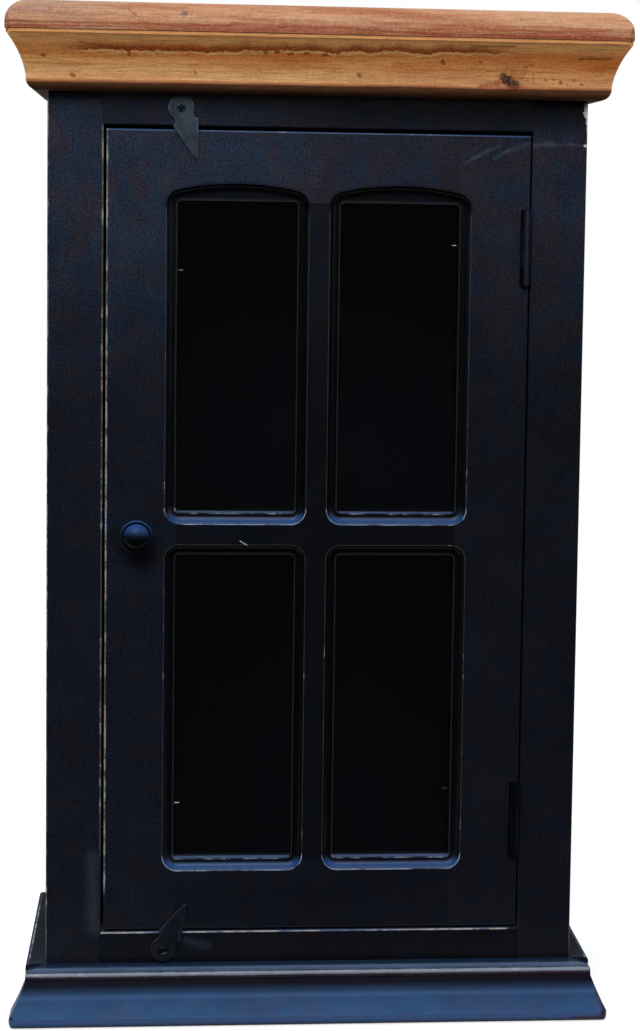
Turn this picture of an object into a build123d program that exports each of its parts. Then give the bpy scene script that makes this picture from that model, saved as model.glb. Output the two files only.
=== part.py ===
"""Small glazed display cabinet for thimbles.

A shallow carcass of painted boards carries a face frame, an inset glazed door on two
butt hinges, two turn buttons, a flared plinth and a cornice of oiled wood.

Frame: X to the right, Y into the cabinet, Z up.  The origin is the middle of the floor
under the whole cabinet.  All sizes are in millimetres.
"""

from build123d import *

import math
import os

# Carcass
body_width = 360.0
body_depth = 176.5
body_height = 589.0  # seen between the plinth and the cornice
side_thickness = 18.0
board_thickness = 16.0  # floor and ceiling of the inside
shelf_thickness = 12.0
shelf_setback = 7.0  # from the back of the face frame
back_thickness = 6.0
back_lap = 9.0  # how far the back panel goes into each side
housing_depth = 6.0  # grooves in the sides that hold the boards
joint_clearance = 0.1  # glue line round tenons and housed boards

# Face frame
frame_thickness = 20.0
frame_stile_width = 37.0
rail_reveal = 21.4  # height of each frame rail between its moulding and the door
tenon_thickness = 8.0
tenon_length = 18.0
tenon_shoulder = 10.0
cut_margin = 1.0  # by which a cut runs past the face it opens
arris_radius = 1.2  # hand-rubbed edges

# Plinth and cornice
plinth_height = 38.0
plinth_ledge = 13.0
plinth_ledge_radius = 1.5
plinth_ledge_drop = 3.4
plinth_lip = 5.0
plinth_flare = 23.5
plinth_nose_height = 6.5
plinth_undercut = 3.4
plinth_nose_ease = 0.7
plinth_sag = 0.4
plinth_side_thickness = 13.5
plinth_side_radius = 2.2
cove_height = 39.0
cove_foot = 13.3
cove_foot_radius = 7.0
cove_start = 9.0  # height at which the hollow begins
cove_lip = 2.5
cove_sag = 1.8
board_reveal = 0.8  # top board beyond the moulding under it
top_overhang = 26.5
top_board_thickness = 19.0
top_board_radius = 16.0
plan_corner_radius = 6.0
plan_ease = 0.25  # by which the rounding stands off the flats

# Door
door_thickness = 19.5
door_gap_lock = 1.8
door_gap_hinge = 1.0
door_gap_top = 2.5
door_gap_bottom = 1.9
door_stile_width = 47.6
door_top_rail_height = 47.2
door_mid_rail_height = 29.8
door_bottom_rail_height = 48.4
muntin_width = 29.8
door_tenon_thickness = 6.0
door_tenon_length = 22.0
door_tenon_shoulder = 9.0
muntin_tenon_length = 9.0
stop_lap = 5.0  # floor and ceiling stand this far behind the door's edges

# Routed moulding round each pane
moulding_width = 7.7
moulding_quirk = 0.6  # small square step at the face
cove_radius = 5.5
bead_height = 1.1
bead_slope = 0.5  # of each side of the bead
pane_corner_radius = 2.3
arch_rise = 4.5  # of the cove over the upper panes, above its straight bead
lip_depth = 9.9  # from the door's face to the glass

# Glazing
rabbet_width = 4.0
glass_thickness = 2.0
glass_clearance = 0.3
bead_depth = 6.0
bead_round = 2.4
bead_mitre_length = 16.0
pin_radius = 0.5
pin_length = 14.0
pin_show = 3.5  # how far each glazing pin stands into its pane
pin_drops = {"upper_left": 46.0, "upper_right": 27.0, "lower_left": 36.0, "lower_right": 45.0}

# Knob
knob_radius = 11.0
knob_height = 18.0
knob_foot_radius = 6.4
knob_foot_height = 1.5
knob_stem_radius = 5.2
knob_neck_height = 7.6
knob_rim_low = 11.8
knob_rim_high = 14.2
knob_bevel = 0.7
knob_groove_radius = 8.7
knob_groove_height = 13.6
knob_inset = 21.3  # from the door's edge
knob_bore_depth = 11.0

# Butt hinges
hinge_height = 50.0
hinge_inset = 50.0  # from the end of the door to the end of the hinge
barrel_radius = 3.5
hinge_pin_radius = 1.25
pin_clearance = 0.05
leaf_thickness = 1.4
leaf_depth = 17.0
knuckle_gap = 0.2
barrel_stand = 1.0  # barrel axis in front of the door's face
barrel_clearance = 0.4
notch_clearance = 0.4  # door stile above and below each hinge
hinge_screw_spacing = 32.0
hinge_screw_share = 0.6  # of the leaf's depth, where its screws stand

# Turn buttons
button_thickness = 1.8
button_standoff = 0.3
button_eye_radius = 8.4
button_length = 37.0
button_half_width = 9.0
button_neck = 6.3
button_shoulder_drop = 0.6  # of the leaf's shoulders below the eye
button_edge_distance = 9.4  # screw to the moulding above or below it
top_button_inset = 49.0  # from the door's edge
bottom_button_inset = 40.4
top_button_angle = 17.5  # degrees from straight down
bottom_button_angle = 26.0  # degrees from straight up
button_shoulder_radius = 1.8
button_point_radius = 0.8
button_bevel = 0.35
button_fit = 0.08

# Screws
screw_radius = 1.75
screw_head_radius = 3.4
screw_head_height = 2.0
button_screw_length = 14.0
hinge_screw_radius = 1.2
hinge_screw_length = 12.0
knob_screw_radius = 1.9
recess_width = 0.9
recess_share = 0.6  # of the head's height

# Planes of the cabinet
half_width = body_width / 2
face_y = top_overhang - (body_depth + top_overhang) / 2
back_y = face_y + body_depth
frame_back_y = face_y + frame_thickness
panel_y = back_y - back_thickness
cornice_z = plinth_height + body_height
top_board_z = cornice_z + cove_height
cove_reach = top_overhang - board_reveal

# Opening of the face frame, and the door in it
opening_half = half_width - frame_stile_width
opening_low = plinth_height + rail_reveal
opening_high = cornice_z - rail_reveal
door_left = door_gap_lock - opening_half
door_right = opening_half - door_gap_hinge
door_low = opening_low + door_gap_bottom
door_high = opening_high - door_gap_top
door_width = door_right - door_left
door_middle = (door_left + door_right) / 2
door_height = door_high - door_low
door_back_y = face_y + door_thickness

# Panes, from the rails and stiles round them
pane_width = (door_width - 2 * door_stile_width - muntin_width) / 2
rails_height = door_top_rail_height + door_mid_rail_height + door_bottom_rail_height
pane_height = (door_height - rails_height) / 2
pane_shift = (pane_width + muntin_width) / 2
lower_pane_low = door_low + door_bottom_rail_height
mid_rail_low = lower_pane_low + pane_height
upper_pane_low = mid_rail_low + door_mid_rail_height
top_rail_low = upper_pane_low + pane_height
pane_places = {
    "upper_left": (door_middle - pane_shift, upper_pane_low),
    "upper_right": (door_middle + pane_shift, upper_pane_low),
    "lower_left": (door_middle - pane_shift, lower_pane_low),
    "lower_right": (door_middle + pane_shift, lower_pane_low),
}

# Boards of the inside
floor_top = door_low + stop_lap
ceiling_low = door_high - stop_lap
board_reach = half_width - side_thickness + housing_depth - joint_clearance

# Hardware
hinge_x = opening_half - barrel_radius
hinge_y = face_y - barrel_stand
hinge_heights = {
    "upper": door_high - hinge_inset - hinge_height / 2,
    "lower": door_low + hinge_inset + hinge_height / 2,
}
knob_x = door_left + knob_inset
knob_z = mid_rail_low + door_mid_rail_height / 2
button_back_y = face_y - button_standoff
button_front_y = button_back_y - button_thickness
button_places = {
    "top": (door_left + top_button_inset, cornice_z - button_edge_distance, 180 + top_button_angle),
    "bottom": (door_left + bottom_button_inset, plinth_height + button_edge_distance, -bottom_button_angle),
}
leaf_screw_y = hinge_y + hinge_screw_share * leaf_depth


def screw_heights(hinge_z):
    """Heights of the two screws in each leaf of a hinge."""
    return hinge_z - hinge_screw_spacing / 2, hinge_z + hinge_screw_spacing / 2


def front_plane(y):
    """Sketch plane that faces the viewer at depth y: local x is X, local y is Z."""
    return Plane.XZ.offset(-y)


def save(builder, name):
    """Label a finished piece and write its file."""
    builder.part.label = name
    export_step(builder.part, f"parts/{name}.step")


def block(x_range, y_range, z_range, mode=Mode.ADD):
    """Add a rectangular block to the piece being built, or cut it out."""
    with BuildSketch(Plane.XY.offset(z_range[0])) as footprint:
        with Locations((sum(x_range) / 2, sum(y_range) / 2)):
            Rectangle(x_range[1] - x_range[0], y_range[1] - y_range[0])
    extrude(footprint.sketch, amount=z_range[1] - z_range[0], mode=mode)


def slot(x_range, y_range, z_range):
    """Cut a rectangular slot out of the piece being built."""
    block(x_range, y_range, z_range, mode=Mode.SUBTRACT)


def dome_arc(rim, top):
    """Arc of a turned dome, from its rim to its top on the axis."""
    rise = top[1] - rim[1]
    return RadiusArc(rim, top, -(rim[0] ** 2 + rise**2) / (2 * rise))


def screw_solid(head_radius, head_height, radius, length, countersunk=False):
    """Cross-recess screw along Z, with its plain shank below the plane z = 0."""
    crown = 0 if countersunk else head_height
    seat = -head_height if countersunk else 0
    with BuildPart() as screw:
        with BuildSketch(Plane.XZ):
            with BuildLine():
                Polyline((0, crown), (0, -length), (radius, -length), (radius, seat))
                if countersunk:
                    Polyline((radius, seat), (head_radius, 0), (0, 0))
                else:
                    Line((radius, 0), (head_radius, 0))
                    dome_arc((head_radius, 0), (0, head_height))
            make_face()
        revolve(axis=Axis.Z)
        with BuildSketch(Plane.XY.offset(crown - recess_share * head_height)):
            Rectangle(head_radius, recess_width)
            Rectangle(recess_width, head_radius)
        extrude(amount=head_height, mode=Mode.SUBTRACT)
    return screw.part


os.makedirs("parts", exist_ok=True)

# Carcass sides, grooved for the boards and rebated for the back panel
shelf_low = mid_rail_low
housings = (
    (frame_back_y, floor_top - board_thickness, board_thickness),
    (frame_back_y, ceiling_low, board_thickness),
    (frame_back_y + shelf_setback, shelf_low, shelf_thickness),
)
with BuildPart() as left_side:
    block((-half_width, side_thickness - half_width), (frame_back_y, back_y), (0, top_board_z))
    inner_x = side_thickness - half_width
    for groove_y, groove_z, groove_height in housings:
        slot(
            (inner_x - housing_depth, inner_x + cut_margin),
            (groove_y - joint_clearance, panel_y + cut_margin),
            (groove_z, groove_z + groove_height + joint_clearance),
        )
    slot(
        (inner_x - back_lap, inner_x + cut_margin),
        (panel_y, back_y + cut_margin),
        (-cut_margin, top_board_z + cut_margin),
    )
save(left_side, "left_side")

with BuildPart() as right_side:
    mirror(left_side.part, about=Plane.YZ)
save(right_side, "right_side")

# Boards of the inside
for name, (board_y, board_z, thickness) in zip(("floor_board", "ceiling_board", "shelf"), housings):
    with BuildPart() as inner_board:
        block((-board_reach, board_reach), (board_y, panel_y), (board_z, board_z + thickness))
    save(inner_board, name)

with BuildPart() as back_panel:
    panel_reach = half_width - side_thickness + back_lap - joint_clearance
    block((-panel_reach, panel_reach), (panel_y, back_y), (floor_top - board_thickness, top_board_z))
save(back_panel, "back_panel")

# Face frame, with tenoned rails
frame_middle_y = (face_y + frame_back_y) / 2
frame_rails = {"bottom": (0, opening_low), "top": (opening_high, top_board_z)}
with BuildPart() as frame_left_stile:
    block((-half_width, -opening_half), (face_y, frame_back_y), (0, top_board_z))
    front_edges = frame_left_stile.edges().filter_by(Axis.Z).group_by(Axis.Y)[0]
    fillet(front_edges, arris_radius)
    for rail_low, rail_high in frame_rails.values():
        slot(
            (-opening_half - tenon_length - joint_clearance, cut_margin - opening_half),
            (
                frame_middle_y - tenon_thickness / 2 - joint_clearance,
                frame_middle_y + tenon_thickness / 2 + joint_clearance,
            ),
            (rail_low + tenon_shoulder - joint_clearance, rail_high - tenon_shoulder + joint_clearance),
        )
save(frame_left_stile, "frame_left_stile")

with BuildPart() as frame_right_stile:
    mirror(frame_left_stile.part, about=Plane.YZ)
    for hinge_z in hinge_heights.values():
        for screw_z in screw_heights(hinge_z):
            with Locations(Plane((opening_half, leaf_screw_y, screw_z), z_dir=(-1, 0, 0))):
                Hole(hinge_screw_radius, hinge_screw_length)
save(frame_right_stile, "frame_right_stile")

for name, (rail_low, rail_high) in frame_rails.items():
    with BuildPart() as frame_rail:
        block((-opening_half, opening_half), (face_y, frame_back_y), (rail_low, rail_high))
        front_edges = frame_rail.edges().filter_by(Axis.X).group_by(Axis.Y)[0]
        fillet(front_edges.sort_by(Axis.Z)[-1 if name == "bottom" else 0], arris_radius)
        block(
            (-opening_half - tenon_length, opening_half + tenon_length),
            (frame_middle_y - tenon_thickness / 2, frame_middle_y + tenon_thickness / 2),
            (rail_low + tenon_shoulder, rail_high - tenon_shoulder),
        )
        button_x, button_z, _ = button_places[name]
        with Locations(Plane((button_x, face_y, button_z), z_dir=(0, -1, 0))):
            Hole(screw_radius, button_screw_length)
    save(frame_rail, f"frame_{name}_rail")


# Profiles of the cornice and plinth mouldings
def cove_profile():
    """Cornice moulding: out from the face, up from its foot."""
    lip_low = cove_height - cove_lip
    hollow_middle = (
        (cove_foot + cove_reach) / 2 - cove_sag,
        (cove_start + lip_low) / 2 + cove_sag / 2,
    )
    with BuildLine() as outline:
        Line((0, 0), (cove_foot - cove_foot_radius, 0))
        CenterArc((cove_foot - cove_foot_radius, cove_foot_radius), cove_foot_radius, -90, 90)
        Line((cove_foot, cove_foot_radius), (cove_foot, cove_start))
        ThreePointArc((cove_foot, cove_start), hollow_middle, (cove_reach, lip_low))
        Polyline((cove_reach, lip_low), (cove_reach, cove_height), (0, cove_height), (0, 0))
    make_face(outline.edges())


def plinth_profile():
    """Plinth moulding: out from the face, up from the floor."""
    ledge_high = plinth_height - plinth_ledge_drop
    ledge_edge = (plinth_ledge - plinth_ledge_radius, ledge_high + plinth_ledge_radius / 2)
    ledge_foot = (plinth_ledge, ledge_high - plinth_ledge_radius / 2)
    flare_start = (plinth_ledge, ledge_high - plinth_lip)
    flare_end = (plinth_flare, plinth_nose_height)
    flare_middle = (
        (flare_start[0] + flare_end[0]) / 2 - plinth_sag,
        (flare_start[1] + flare_end[1]) / 2 - plinth_sag / 2,
    )
    nose_middle = (plinth_flare - plinth_nose_ease, plinth_nose_height / 3)
    nose_foot = (plinth_flare - plinth_undercut, 0)
    with BuildLine() as outline:
        Polyline((0, plinth_height), ledge_edge, ledge_foot, flare_start)
        ThreePointArc(flare_start, flare_middle, flare_end)
        ThreePointArc(flare_end, nose_middle, nose_foot)
        Polyline(nose_foot, (0, 0), (0, plinth_height))
    make_face(outline.edges())


# Cornice, mitred at the front corners
def round_plan(overhang, low_z, height):
    """Rub the front corners of the piece being built round, seen from above."""
    reach = overhang + plan_ease
    with BuildSketch(Plane.XY.offset(low_z - cut_margin)) as plan:
        with Locations((0, (face_y - reach + back_y + plan_ease) / 2)):
            Rectangle(body_width + 2 * reach, body_depth + reach + plan_ease)
        fillet(plan.vertices().group_by(Axis.Y)[0], plan_corner_radius)
    extrude(plan.sketch, amount=height + 2 * cut_margin, mode=Mode.INTERSECT)


right_mitre = Plane((half_width, face_y, 0), z_dir=(1, 1, 0))
left_mitre = Plane((-half_width, face_y, 0), z_dir=(-1, 1, 0))
with BuildPart() as cornice_front:
    with BuildSketch(Plane((0, face_y, cornice_z), x_dir=(0, -1, 0), z_dir=(-1, 0, 0))):
        cove_profile()
    extrude(amount=half_width + cove_reach, both=True)
    split(bisect_by=right_mitre, keep=Keep.BOTTOM)
    split(bisect_by=left_mitre, keep=Keep.BOTTOM)
    round_plan(cove_reach, cornice_z, cove_height)
save(cornice_front, "cornice_front")

with BuildPart() as cornice_right:
    with BuildSketch(Plane((half_width, back_y, cornice_z), x_dir=(1, 0, 0), z_dir=(0, -1, 0))):
        cove_profile()
    extrude(amount=body_depth + cove_reach)
    split(bisect_by=right_mitre, keep=Keep.TOP)
    round_plan(cove_reach, cornice_z, cove_height)
save(cornice_right, "cornice_right")

with BuildPart() as cornice_left:
    mirror(cornice_right.part, about=Plane.YZ)
save(cornice_left, "cornice_left")

# Plinth: the flared front runs past the plain side boards and has the same flare on its ends
with BuildPart() as plinth_ends:
    with BuildSketch(Plane((half_width, face_y, 0), x_dir=(1, 0, 0), z_dir=(0, -1, 0))):
        plinth_profile()
    extrude(amount=plinth_flare)
    mirror(about=Plane.YZ)
    block((-half_width, half_width), (face_y - plinth_flare, face_y), (0, plinth_height))

with BuildPart() as plinth_front:
    with BuildSketch(Plane((0, face_y, 0), x_dir=(0, -1, 0), z_dir=(-1, 0, 0))):
        plinth_profile()
    extrude(amount=half_width + plinth_flare, both=True)
    add(plinth_ends.part, mode=Mode.INTERSECT)
    round_plan(plinth_flare, 0, plinth_height)
save(plinth_front, "plinth_front")

with BuildPart() as plinth_right:
    block(
        (half_width, half_width + plinth_side_thickness), (face_y, back_y), (0, plinth_height)
    )
    outer_edge = plinth_right.edges().filter_by(Axis.Y).group_by(Axis.Z)[-1].sort_by(Axis.X)[-1]
    fillet(outer_edge, plinth_side_radius)
save(plinth_right, "plinth_right")

with BuildPart() as plinth_left:
    mirror(plinth_right.part, about=Plane.YZ)
save(plinth_left, "plinth_left")

# Top board, with a large half-round nose on three sides
with BuildPart() as top_board:
    with BuildSketch(Plane.XZ.offset(-back_y)) as board_front:
        with Locations((0, top_board_z + top_board_thickness / 2)):
            Rectangle(body_width + 2 * top_overhang, top_board_thickness)
        fillet(board_front.vertices().group_by(Axis.Y)[-1], top_board_radius)
    extrude(amount=body_depth + top_overhang)
    with BuildSketch(Plane.YZ.offset(-half_width - top_overhang)) as board_side:
        with Locations(((face_y - top_overhang + back_y) / 2, top_board_z + top_board_thickness / 2)):
            Rectangle(body_depth + top_overhang, top_board_thickness)
        fillet(board_side.vertices().group_by(Axis.Y)[-1].sort_by(Axis.X)[0], top_board_radius)
    extrude(amount=body_width + 2 * top_overhang, mode=Mode.INTERSECT)
    round_plan(top_overhang, top_board_z, top_board_thickness)
save(top_board, "top_board")


# Door: everything the router and the glazier take out for one pane
def pane_outline(x, low_z, rise):
    """Wire of the pane's edge, from the middle of its foot, bulging upwards by rise at its head."""
    left, right = x - pane_width / 2, x + pane_width / 2
    high_z = low_z + pane_height
    with BuildLine(front_plane(face_y)) as outline:
        Polyline((x, low_z), (right, low_z), (right, high_z))
        if rise:
            ThreePointArc((right, high_z), (x, high_z + rise), (left, high_z))
        else:
            Line((right, high_z), (left, high_z))
        Polyline((left, high_z), (left, low_z), (x, low_z))
        corners = outline.vertices().filter_by(lambda corner: abs(corner.X - x) > pane_width / 4)
        fillet(corners, pane_corner_radius)
    return outline.line


def pane_rout(x, low_z, rise):
    """Cutter for one pane: cove and straight bead round the front, through hole, rabbet behind."""
    outline = pane_outline(x, low_z, rise)
    floor_depth = moulding_quirk + cove_radius
    cove_inner = moulding_width - cove_radius
    bead_top = floor_depth - bead_height
    pane_foot = Plane((x, face_y, low_z), x_dir=(0, 0, -1), z_dir=(1, 0, 0))
    with BuildPart() as rout:
        with BuildSketch(pane_foot):
            with BuildLine():
                Polyline(
                    (cove_inner, floor_depth),
                    (-cut_margin, floor_depth),
                    (-cut_margin, -cut_margin),
                    (moulding_width, -cut_margin),
                    (moulding_width, moulding_quirk),
                )
                CenterArc((cove_inner, moulding_quirk), cove_radius, 0, 90)
            make_face()
        sweep(path=outline, transition=Transition.RIGHT)
        with BuildSketch(front_plane(face_y - cut_margin)):
            add(outline.moved(Location((0, -cut_margin, 0))))
            make_face()
        extrude(amount=-floor_depth - cut_margin)
        with BuildSketch(pane_foot):
            with BuildLine():
                Polyline(
                    (0, floor_depth + cut_margin),
                    (0, floor_depth),
                    (bead_slope, bead_top),
                    (cove_inner - bead_slope, bead_top),
                    (cove_inner, floor_depth),
                    (cove_inner, floor_depth + cut_margin),
                    close=True,
                )
            make_face()
        sweep(path=pane_outline(x, low_z, 0), transition=Transition.RIGHT, mode=Mode.SUBTRACT)
        with BuildSketch(front_plane(face_y)):
            with Locations((x, low_z + pane_height / 2)):
                RectangleRounded(pane_width, pane_height, pane_corner_radius)
        extrude(amount=-door_thickness - cut_margin)
        with BuildSketch(front_plane(face_y + lip_depth)):
            with Locations((x, low_z + pane_height / 2)):
                Rectangle(pane_width + 2 * rabbet_width, pane_height + 2 * rabbet_width)
        extrude(amount=-door_thickness)
    return rout.part


routs = [
    pane_rout(x, low_z, arch_rise if name.startswith("upper") else 0)
    for name, (x, low_z) in pane_places.items()
]


def rout_panes(builder):
    """Cut every pane out of a door member, where the two meet."""
    box = builder.part.bounding_box()
    for rout in routs:
        reach = rout.bounding_box()
        if all(low < high for low, high in zip(box.min, reach.max)) and all(
            low < high for low, high in zip(reach.min, box.max)
        ):
            add(rout, mode=Mode.SUBTRACT)


# Door members: two stiles, three tenoned rails and two tenoned muntins
tenon_low_y = face_y + moulding_quirk + cove_radius + cut_margin
tenon_y = (tenon_low_y, tenon_low_y + door_tenon_thickness)
mortise_y = (tenon_y[0] - joint_clearance, tenon_y[1] + joint_clearance)
door_y = (face_y, door_back_y)
rail_reach = door_width / 2 - door_stile_width
door_rails = {
    "bottom": (door_low, lower_pane_low),
    "mid": (mid_rail_low, upper_pane_low),
    "top": (top_rail_low, door_high),
}
muntin_tenon_half = muntin_width / 2 - door_tenon_shoulder
pin_places = {
    "upper_left": upper_pane_low + pane_height - pin_drops["upper_left"],
    "upper_right": upper_pane_low + pane_height - pin_drops["upper_right"],
    "lower_left": lower_pane_low + pin_drops["lower_left"],
    "lower_right": lower_pane_low + pin_drops["lower_right"],
}
pin_y = face_y + lip_depth + glass_thickness + bead_depth / 2

for side, way in (("left", -1), ("right", 1)):
    outer_x = door_middle + way * door_width / 2
    inner_x = door_middle + way * rail_reach
    with BuildPart() as door_stile:
        block(sorted((outer_x, inner_x)), door_y, (door_low, door_high))
        face_edges = door_stile.edges().group_by(Axis.Y)[0]
        outer_edges = face_edges.filter_by(lambda edge: abs(edge.center().X - inner_x) > door_stile_width / 4)
        fillet(outer_edges, arris_radius)
        for rail_low, rail_high in door_rails.values():
            mortise_x = (inner_x - way, inner_x + way * (door_tenon_length + joint_clearance))
            mortise_z = (rail_low + door_tenon_shoulder, rail_high - door_tenon_shoulder)
            slot(
                sorted(mortise_x),
                mortise_y,
                (mortise_z[0] - joint_clearance, mortise_z[1] + joint_clearance),
            )
        rout_panes(door_stile)
        for name, pin_z in pin_places.items():
            if name.endswith(side):
                with Locations(Plane((inner_x, pin_y, pin_z), z_dir=(-way, 0, 0))):
                    Hole(pin_radius, pin_length - pin_show)
        if side == "left":
            with Locations(Plane((knob_x, face_y, knob_z), z_dir=(0, -1, 0))):
                Hole(knob_screw_radius, door_thickness)
        else:
            for hinge_z in hinge_heights.values():
                notch_half = hinge_height / 2 + notch_clearance
                notch_z = (hinge_z - notch_half, hinge_z + notch_half)
                slot(
                    (hinge_x - barrel_radius, door_right + cut_margin),
                    (face_y - cut_margin, door_back_y + cut_margin),
                    notch_z,
                )
                with Locations((hinge_x, hinge_y, hinge_z)):
                    Cylinder(barrel_radius + barrel_clearance, 2 * notch_half, mode=Mode.SUBTRACT)
                for screw_z in screw_heights(hinge_z):
                    wall = Plane((hinge_x - barrel_radius, leaf_screw_y, screw_z), z_dir=(1, 0, 0))
                    with Locations(wall):
                        Hole(hinge_screw_radius, hinge_screw_length)
    save(door_stile, f"door_{side}_stile")

for name, (rail_low, rail_high) in door_rails.items():
    with BuildPart() as door_rail:
        block((door_middle - rail_reach, door_middle + rail_reach), door_y, (rail_low, rail_high))
        outer_edges = door_rail.edges().filter_by(Axis.X).group_by(Axis.Y)[0].sort_by(Axis.Z)
        if name != "mid":
            fillet(outer_edges[-1 if name == "top" else 0], arris_radius)
        block(
            (door_middle - rail_reach - door_tenon_length, door_middle + rail_reach + door_tenon_length),
            tenon_y,
            (rail_low + door_tenon_shoulder, rail_high - door_tenon_shoulder),
        )
        mortise_reach = muntin_tenon_half + joint_clearance
        mortise_depth = muntin_tenon_length + joint_clearance
        mortise_x = (door_middle - mortise_reach, door_middle + mortise_reach)
        if name != "top":
            slot(mortise_x, mortise_y, (rail_high - mortise_depth, rail_high + cut_margin))
        if name != "bottom":
            slot(mortise_x, mortise_y, (rail_low - cut_margin, rail_low + mortise_depth))
        rout_panes(door_rail)
    save(door_rail, f"door_{name}_rail")

for name, muntin_low in (("upper", upper_pane_low), ("lower", lower_pane_low)):
    with BuildPart() as muntin:
        muntin_x = (door_middle - muntin_width / 2, door_middle + muntin_width / 2)
        block(muntin_x, door_y, (muntin_low, muntin_low + pane_height))
        block(
            (door_middle - muntin_tenon_half, door_middle + muntin_tenon_half),
            tenon_y,
            (muntin_low - muntin_tenon_length, muntin_low + pane_height + muntin_tenon_length),
        )
        rout_panes(muntin)
    save(muntin, f"door_{name}_muntin")

# Glass, its mitred quadrant beads, and the pins that hold the beads
glass_y = face_y + lip_depth
for name, (pane_x, pane_low) in pane_places.items():
    pane_centre = (pane_x, pane_low + pane_height / 2)
    glass_margin = 2 * (rabbet_width - glass_clearance)
    with BuildPart() as glass:
        with BuildSketch(front_plane(glass_y)):
            with Locations(pane_centre):
                Rectangle(pane_width + glass_margin, pane_height + glass_margin)
        extrude(amount=-glass_thickness)
    save(glass, f"glass_{name}")

    with BuildPart() as beads:
        with BuildSketch(front_plane(glass_y + glass_thickness)):
            with Locations(pane_centre):
                Rectangle(pane_width + 2 * rabbet_width, pane_height + 2 * rabbet_width)
                Rectangle(pane_width, pane_height, mode=Mode.SUBTRACT)
        extrude(amount=-bead_depth)
        inner_edges = beads.edges().group_by(Axis.Y)[-1].sort_by(SortBy.LENGTH)
        inner_edges = inner_edges.filter_by(
            lambda edge: abs(edge.center().X - pane_x) < (pane_width + rabbet_width) / 2
            and abs(edge.center().Z - pane_centre[1]) < (pane_height + rabbet_width) / 2
        )
        fillet(inner_edges, bead_round)
        with BuildSketch(front_plane(glass_y + glass_thickness)):
            for across in (-1, 1):
                for up in (-1, 1):
                    corner_x = pane_x + across * (pane_width + rabbet_width) / 2
                    corner_z = pane_centre[1] + up * (pane_height + rabbet_width) / 2
                    with Locations((corner_x, corner_z)):
                        Rectangle(bead_mitre_length, joint_clearance, rotation=45 * across * up)
        extrude(amount=-bead_depth, mode=Mode.SUBTRACT)
        way = -1 if name.endswith("left") else 1
        edge_x = pane_x + way * pane_width / 2
        with Locations(Plane((edge_x, pin_y, pin_places[name]), z_dir=(-way, 0, 0))):
            Hole(pin_radius, rabbet_width)
    save(beads, f"glazing_beads_{name}")

with BuildPart() as glazing_pins:
    for name, pin_z in pin_places.items():
        way = -1 if name.endswith("left") else 1
        pin_x = pane_places[name][0] + way * (pane_width / 2 - pin_show + pin_length / 2)
        with Locations(Plane((pin_x, pin_y, pin_z), z_dir=(1, 0, 0))):
            Cylinder(pin_radius, pin_length)
save(glazing_pins, "glazing_pins")


# Turned knob with a rolled rim, and its screw from inside
def turned_knob():
    """Knob along Z, with its foot on the plane z = 0."""
    with BuildPart() as turning:
        with BuildSketch(Plane.XZ):
            with BuildLine():
                Polyline(
                    (0, knob_height),
                    (0, 0),
                    (knob_foot_radius, 0),
                    (knob_foot_radius, knob_foot_height),
                    (knob_stem_radius, knob_foot_height),
                    (knob_stem_radius, knob_neck_height),
                    (knob_radius - knob_bevel, knob_rim_low),
                    (knob_radius, knob_rim_low + knob_bevel),
                    (knob_radius, knob_rim_high - knob_bevel),
                    (knob_radius - knob_bevel, knob_rim_high),
                    (knob_groove_radius + knob_bevel, knob_rim_high),
                    (knob_groove_radius, knob_groove_height),
                )
                dome_arc((knob_groove_radius, knob_groove_height), (0, knob_height))
            make_face()
        revolve(axis=Axis.Z)
        with Locations(Plane.XY.rotated((180, 0, 0))):
            Hole(knob_screw_radius, knob_bore_depth)
    return turning.part


with BuildPart() as knob:
    with Locations(Plane((knob_x, face_y, knob_z), z_dir=(0, -1, 0))):
        add(turned_knob())
save(knob, "knob")

with BuildPart() as knob_screw:
    with Locations(Plane((knob_x, door_back_y, knob_z), z_dir=(0, 1, 0))):
        add(
            screw_solid(
                screw_head_radius, screw_head_height, knob_screw_radius,
                door_thickness + knob_bore_depth - cut_margin,
            )
        )
save(knob_screw, "knob_screw")


# Butt hinges: the frame's leaf holds the pin, the door's leaf turns on it
def hinge_leaf(hinge_z, wall_x, way, on_frame):
    """One leaf against a wall at wall_x, with its knuckles; way points from the wall into the gap."""
    low = hinge_z - hinge_height / 2
    quarter = hinge_height / 4
    ends = ((low, quarter - knuckle_gap / 2), (low + 3 * quarter + knuckle_gap / 2, quarter - knuckle_gap / 2))
    middle = ((low + quarter + knuckle_gap / 2, 2 * quarter - knuckle_gap),)
    own, other = (ends, middle) if on_frame else (middle, ends)
    with BuildPart() as leaf:
        leaf_x = sorted((wall_x, wall_x + way * leaf_thickness))
        block(leaf_x, (hinge_y, hinge_y + leaf_depth), (low, low + hinge_height))
        for knuckle_z, height in other:
            with BuildSketch(Plane.XY.offset(knuckle_z - knuckle_gap)) as relief:
                with Locations((hinge_x, hinge_y)):
                    Circle(barrel_radius + barrel_clearance)
            extrude(relief.sketch, amount=height + 2 * knuckle_gap, mode=Mode.SUBTRACT)
        for knuckle_z, height in own:
            with BuildSketch(Plane.XY.offset(knuckle_z)) as knuckle:
                with Locations((hinge_x, hinge_y)):
                    Circle(barrel_radius)
            extrude(knuckle.sketch, amount=height)
        with Locations((hinge_x, hinge_y, hinge_z)):
            Cylinder(hinge_pin_radius + pin_clearance, 2 * hinge_height, mode=Mode.SUBTRACT)
        for screw_z in screw_heights(hinge_z):
            face = Plane((wall_x + way * leaf_thickness, leaf_screw_y, screw_z), z_dir=(way, 0, 0))
            with Locations(face):
                CounterSinkHole(hinge_screw_radius, hinge_screw_radius + leaf_thickness, leaf_depth, 90)
    return leaf


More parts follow.
